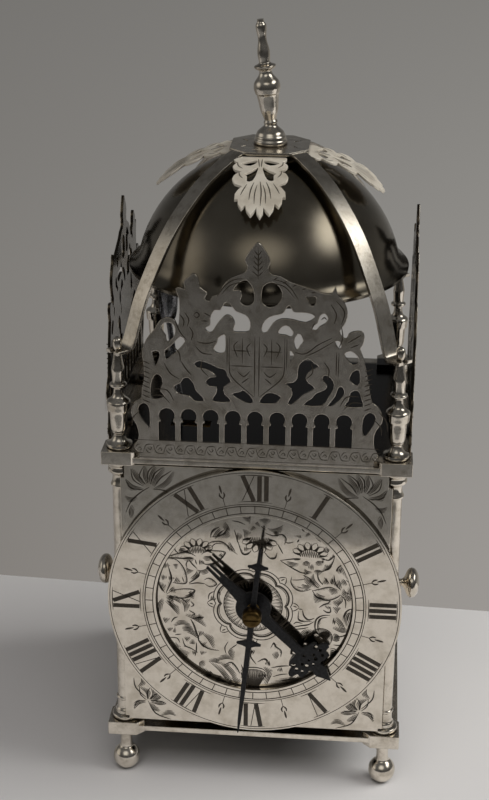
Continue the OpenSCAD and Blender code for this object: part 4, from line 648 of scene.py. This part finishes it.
# Leaves at the lower left
cuts(flowers, here, feather=feather_mm, *(
    (1.7, -36.4, -9.7, -30.7, -12.6, -25.6, -16.2), (0.6, -32.5, -11.6, -29.4, -11, -26.4, -10.4),
    (1.4, -30.4, -12.2, -28, -11.6, -26.8, -10.8), (1, -42.6, -16.8, -38.4, -15.3, -34, -15.5),
    (2.6, -38.2, -18, -35.2, -17.6, -32.2, -18.4), (1.8, -37.8, -19.4, -34.6, -19.2, -32, -19.6),
    (2.3, -35.6, -20, -32.4, -21.4, -29.6, -23.6), (1, -33.6, -12, -31.9, -15.6, -30.1, -21.5, -29.2, -24),
    (1.5, -27.4, -20.4, -24.3, -23.9, -21.4, -29.2),
    (0.6, -28.9, -20.4, -29.5, -24.5, -26.6, -28, -23.6, -29.7, -18.4, -30.4),
    (1, -45.9, -18.2, -44.8, -20.2), (1.6, -43.2, -20.2, -41.4, -20.4), (1.1, -36.9, -23.2, -35.4, -25.8),
    (1, -34.4, -26.7, -31.2, -27), (1, -32.6, -31.2, -32.2, -33.6), (1.4, -28.4, -31.2, -27.8, -33.6),
    (1.3, -48.3, -12, -46.9, -15.3), (0.8, -43.9, -14.5, -42.5, -12.1, -40.5, -11.1),
    (2.2, -43, -31.6, -39.4, -33.4, -34.4, -33.4), (1.8, -41.9, -26.6, -42.5, -31),
    (1.2, -39.2, -34.7, -35.2, -36.9), (0.5, -42, -22, -38.6, -21.4),
    (0.5, -45.8, -23.8, -41, -24, -39.4, -26.8), (0.5, -38, -24, -36.6, -28.4, -32.4, -30.2),
    (0.6, -30.6, -26, -30.6, -30.2, -31.4, -34.6), (0.5, -37.6, -28.6, -34, -29.6, -30.8, -31.6),
    (1.4, -28.6, -26.6, -26.4, -29), (0.7, -29.4, -19, -28.4, -22)))
# Wide leaves and the flower at the foot
cuts(flowers, here, feather=feather_mm, *(
    (1.2, -8.2, -50.4, -12.5, -49.6, -17.8, -48.4, -23.1, -46.6, -25.6, -43.9, -28.6, -40.9),
    (1.5, -28.8, -41.2, -28.8, -38.4, -26.8, -36.9),
    (1.2, -23.8, -37.2, -18.4, -42.6, -13.6, -48.6, -9, -50.2), (1.6, -20.4, -48, -17.2, -49.2),
    (0.9, -25.6, -44.2, -22.6, -46.8), (1, -20.3, -36.9, -14.8, -35, -10.6, -35.5),
    (0.7, -24, -37, -20.4, -37.6, -18, -38.4), (0.6, -15.4, -38.8, -11.9, -37.2, -8.9, -40.4, -7.2, -44),
    (0.7, -18.2, -37.6, -13, -43, -9, -49.4), (2, -11.6, -46.2, -9.6, -49.6, -8.2, -51.2),
    (1.3, -15.6, -38.6, -14.8, -40.4), (1.5, -11.1, -34.6, -13.3, -31.4, -12.3, -28.6),
    (0.5, -12.3, -28.8, -8.9, -26), (0.5, -14.6, -32.4, -15.4, -28.4, -13.6, -24.6),
    (0.6, -0.8, -29.2, -1.6, -33, 1.4, -37.6), (1.6, 0.6, -29, -0.6, -31.8),
    (0.6, 2, -36.2, 5, -34.2, 7, -34.5, 8.6, -38.2),
    (0.6, 8.9, -27.4, 10.6, -23.9, 11.6, -26, 14.6, -28.6, 14.4, -32.4),
    (1.7, 12.6, -29.2, 13, -31.6, 11.8, -33.8), (1.2, 8.2, -35, 8.8, -38),
    (1.3, 7, -50.6, 10.9, -49.6, 16.2, -48.4, 21.5, -47.2, 24, -45.4, 24.6, -43.4),
    (2, 9.9, -42.4, 8.6, -46, 6.9, -50.2), (2, 5.4, -39, 7.2, -42, 7.4, -44.4),
    (0.6, 9.2, -39.4, 14.5, -38, 19, -37.6), (0.5, 10.4, -44.8, 14.4, -43.2, 18.4, -42.6),
    (0.5, 12.6, -47.8, 17.4, -46.4, 21, -45.2), (1, 14.6, -38.6, 15.4, -41.4),
    (0.9, 19.2, -46.8, 22.6, -45.4), (0.6, -6.6, -38.2, -5.6, -42.4, -6.6, -46.8)))
# The petals of the flower at the foot fan out from its stem, under a curved rim
folds, fold_gap, fan_half_w, fan_top, fan_drop = 19, 0.733, 6.9, -40.6, 3.4
for i in range(folds):
    u = -6.6 + i * fold_gap
    top = fan_top - fan_drop * (1 - math.sqrt(1 - (u / fan_half_w) ** 2))
    flowers.line([(u, top), (u * 0.8, -46), (u * 0.35, -52.2)], (0.62, 0.4)[i % 2], swell)
    flowers.line([(u, top), (u * 0.93, top - 3.4 - (i % 3))], 0.6, cut)
cuts(flowers, here, (0.5, -6.8, -42.6, -5, -40.4, 0, -39.6, 5, -40.4, 6.8, -42.6))

# Corner sprays of the front plate
upper_spray = [
    (1, -2, -1, -8, 3.4, -12.6, 9.6), (0.5, -2.6, 0.4, -6, 5.4, -11.6, 9.8),
    (1.2, -1.6, 1, -3.4, 6, -7.8, 11.4), (0.5, -0.6, 1.6, -3, 8, -7.6, 11.6),
    (1.4, -0.4, 1.8, -0.4, 6.8, -3, 12), (0.5, 0.6, 2, 0.4, 8.6, -2.8, 12.2),
    (1.2, 1.2, 1.8, 3, 6.6, 2.2, 11.8), (0.5, 1.8, 1.4, 5, 6.2, 2.4, 12),
    (1.2, 2.6, 1, 6.6, 4.4, 9.2, 9.8), (0.5, 3, 0.4, 8.2, 3.8, 9.4, 10), (1.3, 3, -1, 8.4, 0.6, 12, 4),
    (0.5, 3, -1.8, 9.6, -0.8, 12.2, 3.8), (0.6, 0, 0, 5, -3.6, 9.6, -8.6, 12.4, -15),
    (0.6, -2, -1, -8, -1.6, -13, -4, -18, -5), (1.1, 6.4, -6.2, 9.8, -6.6, 12.6, -5.6),
    (1.1, 9.4, -10.6, 10.6, -14.4, 10, -18), (0.9, -9, -2.4, -12.2, -0.2, -15.6, -0.4)]
lower_spray = [
    (1.1, 0.4, 1, 1, 5, 4.4, 8.4), (0.5, 1, 0.6, 4.2, 4, 4.6, 8.6), (1.2, -0.6, 1, -2.6, 4.2, -1.6, 8.4),
    (0.5, 0, 1.2, 0.4, 5.2, -1.4, 8.6), (1.2, -1.4, 0.4, -5.6, 1.4, -8.2, 4.8),
    (0.5, -1.2, 1.2, -4.2, 4.4, -8.2, 5), (1.1, -1.4, -0.6, -6, -2, -9.8, -1.4),
    (0.5, -1.4, 0.2, -6.2, 0.2, -9.6, -1.2), (1, -0.6, -1.4, -2.4, -5, -6, -6.4),
    (1, 1.2, -0.8, 5.2, -2.4, 7.6, -5.6), (0.5, 1.4, 0, 6, -0.8, 7.8, -5.4),
    (0.6, 0, 0, -4, -7.6, -12.4, -11), (0.6, 1, 2, 6.6, 8, 7.6, 14), (0.9, 5.6, 8.4, 3.4, 12, 3.8, 15.4),
    (0.9, -7, -9, -11.6, -7.6, -15, -8.6)]
for side in (-1, 1):
    cuts(flowers, mirrored(side, 54.5, 64), *upper_spray)
    cuts(flowers, mirrored(side, 57, -64), *lower_spray)
flowers.lay("dial_flowers", "frame", on_dial(plate_face))


# Hands and nut
# The hands are pierced and filed from steel plate and blackened by heat. A round slotted nut of
# bare brass holds them on the centre arbor.
#
# Blackened steel: a thin hard scale, near black with a low sheen, mottled in patches of 1.5 mm.
blackened_steel, tree, out = new_material("blackened_steel")
scale_mm = 1.5
scale_place = add(tree, "TexCoord").outputs["Object"]
steel_scale = add(tree, "TexNoise", Vector=scale_place, Scale=1000 / scale_mm, Detail=4.0).outputs["Fac"]
steel_skin = add(tree, "ValToRGB", [(0.3, "#121212"), (0.7, "#2C2C2E")], Fac=steel_scale).outputs[0]
steel_rough = add(tree, "ValToRGB", [(0.3, 0.28), (0.7, 0.42)], Fac=steel_scale).outputs[0]
steel_bump = add(tree, "Bump", Strength=0.15, Distance=0.05 * MM, Height=steel_scale)
tree.links.new(add(tree, "BsdfPrincipled", Base_Color=steel_skin, Metallic=0.6, Roughness=steel_rough,
                   Normal=steel_bump.outputs[0]).outputs[0], out.inputs["Surface"])
dress("minute_hand", blackened_steel, 0.25)


def plate_cut(name, outline, holes, near, thick, centre, angle, material, body):
    """A flat piece sawn from sheet, its outline and holes in millimetres. Near is the place of its
    front face, centre the place that it is drawn from, and angle turns it clockwise."""
    curve = bpy.data.curves.new(name, "CURVE")
    curve.dimensions = "2D"
    curve.fill_mode = "BOTH"
    for loop in [outline] + holes:
        spline = curve.splines.new("POLY")
        spline.points.add(len(loop) - 1)
        for point, (u, v) in zip(spline.points, loop):
            point.co = (u * MM, v * MM, 0, 1)
        spline.use_cyclic_u = True
    curve.extrude = thick / 2
    flat = bpy.data.objects.new(name + "_flat", curve)
    bpy.context.scene.collection.objects.link(flat)
    bpy.context.view_layer.update()
    mesh = bpy.data.meshes.new_from_object(flat)
    bpy.data.objects.remove(flat)
    turn = Matrix.Rotation(math.radians(angle), 4, "Y") @ Matrix.Rotation(math.radians(90), 4, "X")
    mesh.transform(Matrix.Translation((centre[0], near + thick / 2, centre[1])) @ turn)
    mesh.materials.clear()
    mesh.materials.append(material)
    mesh.name = name
    piece = bpy.data.objects.new(name, mesh)
    bpy.context.scene.collection.objects.link(piece)
    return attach(piece, body)


def round_hole(u, v, r, count=20):
    turns = [polar(r, 360 * i / count) for i in range(count)]
    return [(u + across, v + up) for across, up in turns]


hand_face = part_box("hour_hand")[0].y
hand_thick, hand_angle, hub_r = 1.6, 135, 9.3
tail_half = [(0.7, -24), (0.7, -33), (1.6, -33.2), (2, -25), (2.4, -17), (3.2, -11)]
hub_half = [(hub_r * math.sin(math.radians(t)), -hub_r * math.cos(math.radians(t))) for t in range(22, 162, 6)]
head_half = [
    (2.3, 30), (2.4, 34.4), (6.2, 35.2), (8.4, 35.6), (10, 37), (9.3, 38.7), (11.6, 39.3), (13.4, 40.2),
    (14.2, 41.6), (13.4, 43.2), (11.6, 43.5), (10.3, 43.9), (10.3, 45.6), (9.8, 47.2), (8.4, 46.8),
    (5.8, 47.2), (4.6, 46.6), (2.8, 47.4), (3.5, 49.4), (3.7, 51.5), (2.3, 53.8), (0.2, 58.3)]
half_hand = tail_half + hub_half + [(2.8, 12)] + head_half
hand_loop = half_hand + [(-u, v) for u, v in reversed(half_hand)]
pierced = [(0, 0, 3.2), (0, 45.2, 0.8), (3.3, 43.6, 1.1), (4.1, 41.2, 0.9), (0, 38.2, 0.9), (8.1, 38.4, 1.3),
           (8.6, 41.4, 1), (0, 41.8, 0.7), (7.4, 44.4, 0.9)]
hand_holes = [round_hole(side * u, v, r) for u, v, r in pierced for side in ((1, -1) if u else (1,))]
hour_hand = plate_cut("hour_hand_plate", hand_loop, hand_holes, hand_face, hand_thick * MM, (dial_x, dial_z),
                      hand_angle, blackened_steel, "hour_pipe")
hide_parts("hour_hand")


def bare_metal(name, light, dark, polish):
    """Unplated metal: its bright colour, the colour of its film, and its roughness."""
    material, tree, out = new_material(name)
    # File marks are 0.1 mm apart. They are drawn six times as coarse, so that they show.
    film_mm, filed_mm, hollow_mm = 6, 0.6, 1.5
    place = add(tree, "TexCoord").outputs["Object"]
    film = add(tree, "TexNoise", Vector=place, Scale=1000 / film_mm, Detail=5.0)
    filed = add(tree, "TexNoise", Vector=place, Scale=1000 / filed_mm, Detail=3.0)
    # Grime, and painted shade, darken the metal where other metal stands within hollow_mm.
    hollow = add(tree, "AmbientOcclusion", samples=4, Distance=hollow_mm * MM)
    grime_and_shade = add(tree, "ValToRGB", [(0.3, 1.0), (0.8, 0.0)], Fac=hollow.outputs["AO"]).outputs[0]
    skin = add(tree, "ValToRGB", [(0.35, dark), (0.6, light)], Fac=film.outputs["Fac"]).outputs[0]
    skin = add(tree, "Mix", data_type="RGBA", I0=grime_and_shade, I6=skin, I7=colour("#2B2015"))
    rough = add(tree, "MapRange", Value=filed.outputs["Fac"], From_Min=0.3, From_Max=0.7,
                To_Min=polish * 0.8, To_Max=polish * 1.3)
    bump = add(tree, "Bump", Strength=0.06, Distance=0.03 * MM, Height=filed.outputs["Fac"])
    shader = add(tree, "BsdfPrincipled", Base_Color=skin.outputs[2], Metallic=1.0,
                 Roughness=rough.outputs[0], Normal=bump.outputs[0])
    tree.links.new(shader.outputs[0], out.inputs["Surface"])
    return material


# Old bare brass: a brown film dulls its yellow, and grime with painted shade darkens the slot.
nut_brass = bare_metal("nut_brass", "#63502F", "#3E2F1B", 0.36)
dress("hand_nut", nut_brass, 0.2)


# Frets
# Plated brass sheet, pierced with a saw and engraved with the figures' inner lines. The front one
# and the two side ones come from one pattern, and iron screws hold their feet to the top plate.
#
# Silver that the cloth seldom reaches: a little greyer and duller than the case's. The backs,
# which face the bell, and most of each piercing's wall are painted dark brown: painted shade.
fret_silver = silver_plate("fret_silver", 0.24, 0.0, "#DED6CA", "#C2B9AA", rub=0.01)
fret_skin_mm = 0.3
tree = fret_silver.node_tree
fret_place = add(tree, "SeparateXYZ", Vector=add(tree, "TexCoord").outputs["Object"])
off_middle = add(tree, "Math", operation="ABSOLUTE", I0=fret_place.outputs["X"])
inside_x = add(tree, "Math", operation="LESS_THAN", I0=off_middle.outputs[0],
               I1=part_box("right_fret")[1].x - fret_skin_mm * MM)
inside_y = add(tree, "Math", operation="GREATER_THAN", I0=fret_place.outputs["Y"],
               I1=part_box("front_fret")[0].y + fret_skin_mm * MM)
fret_back_shade = add(tree, "Math", operation="MULTIPLY", I0=inside_x.outputs[0], I1=inside_y.outputs[0])
# Painted shade: the faces toward the bell, and most of each piercing's wall, are coloured dark brown.
paint_in_shade(fret_silver, fret_back_shade.outputs[0], "#4A4338")
for fret in ("front_fret", "left_fret", "right_fret"):
    dress(fret, fret_silver, 0.3)
fret_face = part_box("front_fret")[0].y


def on_side(face, side):
    """Lays the same drawing on a side fret's outer face."""
    return lambda x, h: (face + side * wax_lift * MM, side * x * MM, roof_z + h * MM)


# Heights are above the top plate. These lines stand on both sides of the middle.
fret_lines = Engraving()
both_sides = [
    (0.5, 13.6, 68, 13.6, 51.2, 11.9, 46, 6.8, 41, 1.2, 36.2), (0.4, 14.7, 67.4, 14.7, 51.4),
    (0.5, 1.1, 68, 1.1, 36.6), (0.45, 2, 52.4, 13.2, 52.4), (0.4, 7.2, 67, 7.2, 53.4),
    (0.5, 3.2, 60.4, 12.4, 60.4), (0.45, 19.6, 88.2, 16, 93.6, 11.7, 96.8, 6.7, 97.6),
    (0.4, 17.4, 89.4, 13, 94.2, 6, 96), (0.5, 3, 64.6, 5, 62, 3.4, 57.6),
    (0.5, 9.4, 65.4, 11.4, 62.6, 9.6, 57), (0.5, 3.4, 49.8, 6.4, 47, 9.6, 49.6), (0.5, 4, 46.2, 7.4, 43.4),
    (0.45, 24, 46.4, 27.6, 50.4, 26.8, 55), (0.5, 41.4, 32.6, 44.6, 38, 50.6, 38.6),
    (0.4, 43.2, 31, 47.2, 35, 52.4, 35), (0.45, 58.6, 26.4, 62, 22.6, 62.6, 18),
    (0.4, 60.6, 31, 64.6, 26, 65.6, 20)]
for side in (-1, 1):
    cuts(fret_lines, mirrored(side), *both_sides)
# The figures' own lines
cuts(fret_lines, here, *(
    (0.5, -31.2, 78.2, -29.8, 79.6, -28.4, 78.2, -29.8, 76.8, -31.2, 78.2), (0.5, -26.2, 79.5, -23.1, 78),
    (0.5, -27.4, 75.4, -24.2, 75.2), (0.5, -38.1, 78.4, -36, 75.1, -36.6, 71.6),
    (0.5, -35.6, 79.4, -33.6, 75.8, -34.4, 72), (0.5, -40.2, 74.6, -38.1, 69.4, -34.6, 65.1),
    (0.5, -33.4, 72.2, -31.6, 68.6, -32.6, 64.8), (0.6, -37.4, 53.7, -35.3, 50.1, -32.4, 46.6),
    (0.5, -42, 62, -38.4, 58, -38, 53), (0.5, -30.4, 62, -27, 58.6, -22, 58),
    (0.5, -29.6, 64.4, -25, 63.6, -20, 65), (0.5, -46, 52.6, -43, 47.2, -38.6, 44.4),
    (0.5, 38, 88, 42.3, 82.3, 40.9, 75.9), (0.5, 35.6, 86, 38.4, 81, 37.4, 76),
    (0.5, 41, 75, 41.8, 69, 40, 63.6), (0.5, 18, 60.9, 23.7, 60.1, 30.1, 65.1, 36.6, 68.7),
    (0.4, 23.7, 58.7, 29.4, 61.6, 38, 67.3), (0.5, 39.1, 61.6, 39.1, 49.4), (0.4, 40.2, 61.6, 40.2, 48),
    (0.5, 44.4, 66.6, 50.9, 70.9), (0.45, 45.6, 64, 50, 66), (0.5, 31.2, 78, 32.6, 79.2, 33.8, 78),
    (0.5, 28, 76.4, 26.6, 73), (0.5, 33, 56, 35.6, 52, 35, 47), (0.5, 0.2, 97.4, 0.2, 113)))
# Feathers of the crest, the leaves under it, and the rungs of the outer columns
rung_gap = 2.6
for i in range(5):
    up = rung_gap * i
    for side in (-1, 1):
        cuts(fret_lines, mirrored(side), (0.4, side * 0.2, 99 + up, 2.6 - 0.2 * i, 101.6 + up))
    cuts(fret_lines, here, (0.45, 7.6 + 4.6 * i, 97.2 - 1.4 * i, 9.6 + 4.6 * i, 99 - 1.8 * i))
for i in range(9):
    up = rung_gap * i
    for side in (1, -1):
        cuts(fret_lines, mirrored(side), (0.45, 53.2, 31 + up, 57, 32.6 + up))
# Running scroll on the strip at the foot
strip_low, strip_high, strip_half = 1.2, 10.6, 61.5
strip_middle = (strip_low + strip_high) / 2
scrolls, scroll_w = 24, 5.2
for i in range(scrolls):
    u = -59.8 + i * scroll_w
    bend = 1 if i % 2 else -1
    cuts(fret_lines, lambda across, up: (u + across, strip_middle + bend * up),
         (0.34, -2.6, -2.4, -1.2, 1.8, 1, 2.4, 2.6, 2.4), (0.3, -0.4, 0.9, 0.9, -0.6, 1.7, 0.5, 0.8, 1.1),
         (0.3, -1.4, 0, -0.2, -1.9, 1.2, -2.2))
for h in (strip_high, strip_low):
    fret_lines.line([(-strip_half, h), (strip_half, h)], 0.25)
fret_lines.lay("front_fret_lines", "frame",
               lambda x, h: (x * MM, fret_face - wax_lift * MM, roof_z + h * MM))
fret_lines.lay("left_fret_lines", "frame", on_side(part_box("left_fret")[0].x, -1))
fret_lines.lay("right_fret_lines", "frame", on_side(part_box("right_fret")[1].x, 1))

# Bare iron: grey and dull, with grime and painted shade darkening it round the slots.
iron_screw = bare_metal("iron_screw", "#8C8A86", "#5E5B57", 0.35)
dress("fret_screws", iron_screw, 0.15)


# Bell and its bolt
# The bell is cast bell metal, turned smooth and left dark. A bolt goes through its crown and
# holds the leaves, the strap and the top finial.
#
# Bell metal: a hard bronze with much tin. Its film is grey-brown and mirrors the room softly.
# Lathe lines are 0.1 mm apart. They are drawn nine times as coarse, so that they show.
bell_metal, tree, out = new_material("bell_metal")
bell_cloud_mm, lathe_mm, lathe_stretch = 45, 0.9, 0.05
bell_place = add(tree, "TexCoord").outputs["Object"]
bell_cloud = add(tree, "TexNoise", Vector=bell_place, Scale=1000 / bell_cloud_mm, Detail=6.0, Roughness=0.6)
bell_skin = add(tree, "ValToRGB", [(0.3, "#6E675A"), (0.5, "#7E776A"), (0.7, "#8C8578")],
                Fac=bell_cloud.outputs["Fac"]).outputs[0]
lathe_map = add(tree, "Mapping", Vector=bell_place, Scale=(lathe_stretch, lathe_stretch, 1.0))
lathe_lines = add(tree, "TexNoise", Vector=lathe_map.outputs[0], Scale=1000 / lathe_mm, Detail=2.0)
bell_rough = add(tree, "MapRange", Value=bell_cloud.outputs["Fac"], From_Min=0.3, From_Max=0.7, To_Min=0.16,
                 To_Max=0.25)
bell_bump = add(tree, "Bump", Strength=0.03, Distance=0.05 * MM, Height=lathe_lines.outputs["Fac"])
tree.links.new(add(tree, "BsdfPrincipled", Base_Color=bell_skin, Metallic=1.0, Roughness=bell_rough.outputs[0],
                   Normal=bell_bump.outputs[0]).outputs[0], out.inputs["Surface"])
dress("bell", bell_metal, 0.0, 40)
dress("bell_bolt", iron_screw)


# Strap and leaves
# Four arms of plated strip bend down from the crown to the corner finials. The pierced leaf plate
# under them is cut and bent to the bell, and its veins are engraved. The strap's silver has the
# case's soft shine, with brown tarnish and painted shade where it lies close to other parts.
plate_silver = silver_plate("plate_silver", 0.20, 0.7)
dress("bell_strap", plate_silver, 0.3)

# Frosted silver: the leaves keep the matt white skin of the plating bath, which takes the light
# evenly, and brown tarnish, with painted shade, in the corners. Frost is finer than 0.05 mm and drawn eight
# times as coarse, so that it shows.
frosted_silver, tree, out = new_material("frosted_silver")
frost_mm, frost_cloud_mm, frost_corner_mm = 0.4, 11, 1.2
frost_place = add(tree, "TexCoord").outputs["Object"]
frost = add(tree, "TexNoise", Vector=frost_place, Scale=1000 / frost_mm, Detail=4.0)
frost_cloud = add(tree, "TexNoise", Vector=frost_place, Scale=1000 / frost_cloud_mm, Detail=5.0, Roughness=0.6)
frost_corner = add(tree, "AmbientOcclusion", samples=4, Distance=frost_corner_mm * MM)
frost_tarnish_shade = add(tree, "ValToRGB", [(0.35, 0.8), (0.8, 0.0)], Fac=frost_corner.outputs["AO"]).outputs[0]
frost_skin = add(tree, "ValToRGB", [(0.35, "#D3CABA"), (0.6, "#EFE8DA")], Fac=frost_cloud.outputs["Fac"])
frost_skin = add(tree, "Mix", data_type="RGBA", I0=frost_tarnish_shade, I6=frost_skin.outputs[0], I7=colour("#3A2F20"))
frost_bump = add(tree, "Bump", Strength=0.15, Distance=0.02 * MM, Height=frost.outputs["Fac"])
tree.links.new(add(tree, "BsdfPrincipled", Base_Color=frost_skin.outputs[2], Metallic=0.45, Roughness=0.45,
                   Normal=frost_bump.outputs[0]).outputs[0], out.inputs["Surface"])
dress("crown_leaves", frosted_silver, 0.2)
leaf_top, leaf_bend_r, leaf_bend_from, leaf_twist, leaf_shift = 335.1, 65.5, 12, 4, 5
vein_lift = 0.05


def on_leaf(angle):
    """Lays veins on the bent face of the leaf at an angle: u runs out from the crown, v across."""
    twist, turn = math.radians(leaf_twist), math.radians(angle)

    def place(u, v):
        x = u * math.cos(twist) - (v - leaf_shift) * math.sin(twist)
        y = u * math.sin(twist) + (v - leaf_shift) * math.cos(twist)
        past_bend = max(0.0, x - leaf_bend_from)
        z = leaf_top + vein_lift - leaf_bend_r + math.sqrt(leaf_bend_r ** 2 - past_bend ** 2)
        return ((x * math.cos(turn) - y * math.sin(turn)) * MM, (x * math.sin(turn) + y * math.cos(turn)) * MM,
                z * MM)
    return place


veins = Engraving()
cuts(veins, here, (0.5, 42, 0, 48, 0.6, 55, 0.2))
for side in (-1, 1):
    cuts(veins, lambda u, v: (u, side * v), *(
        (0.45, 42.5, 3, 47, 4.6, 52, 5.4), (0.4, 43.5, 6.5, 47, 8.4, 49.5, 9.6),
        (0.4, 44, 1.4, 49, 2.6, 54, 2.8), (0.45, 26, 11.4, 29.5, 11, 32, 8.8),
        (0.4, 34.5, 10.6, 37.4, 10.2, 39.6, 8.6), (0.4, 22.6, 1, 27, 0.7, 31, 0.5)))
for place, angle in (("right", 0), ("back", 90), ("left", 180), ("front", 270)):
    veins.lay(place + "_leaf_veins", "frame", on_leaf(angle))


# Doors
# Plain plated sheets, filed and polished like the strap, on pin hinges in the corner blocks. Each
# has a turned knob.
for side in ("left", "right", "back"):
    dress(side + "_door", plate_silver, 0.25)
    dress(side + "_door_knob", turned_silver)


# Movement
# Brass plates and wheels and steel arbors, pinions, levers and springs, pinned and riveted
# together and all unplated. The brass is a dull yellow, and the steel a plain grey, both darkened with grime
# and painted shade where parts crowd together.
wheel_brass = bare_metal("wheel_brass", "#C9A968", "#A3834A", 0.26)
arbor_steel = bare_metal("arbor_steel", "#A9A9AB", "#7C7C80", 0.25)
for node in ("movement_front_plate", "movement_back_plate", "movement_pillars", "movement_seats",
             "going_barrel", "centre_wheel", "third_wheel", "escape_wheel", "pendulum", "back_cock",
             "minute_wheel", "hour_wheel", "strike_barrel", "pin_wheel", "hoop_wheel", "fly", "count_wheel"):
    dress(node, wheel_brass)
for node in ("movement_nuts", "going_mainspring", "going_winding_arbor", "pallets", "cannon_pinion",
             "strike_mainspring", "strike_winding_arbor", "hammer", "hammer_spring", "strike_lever",
             "going_click", "strike_click"):
    dress(node, arbor_steel)
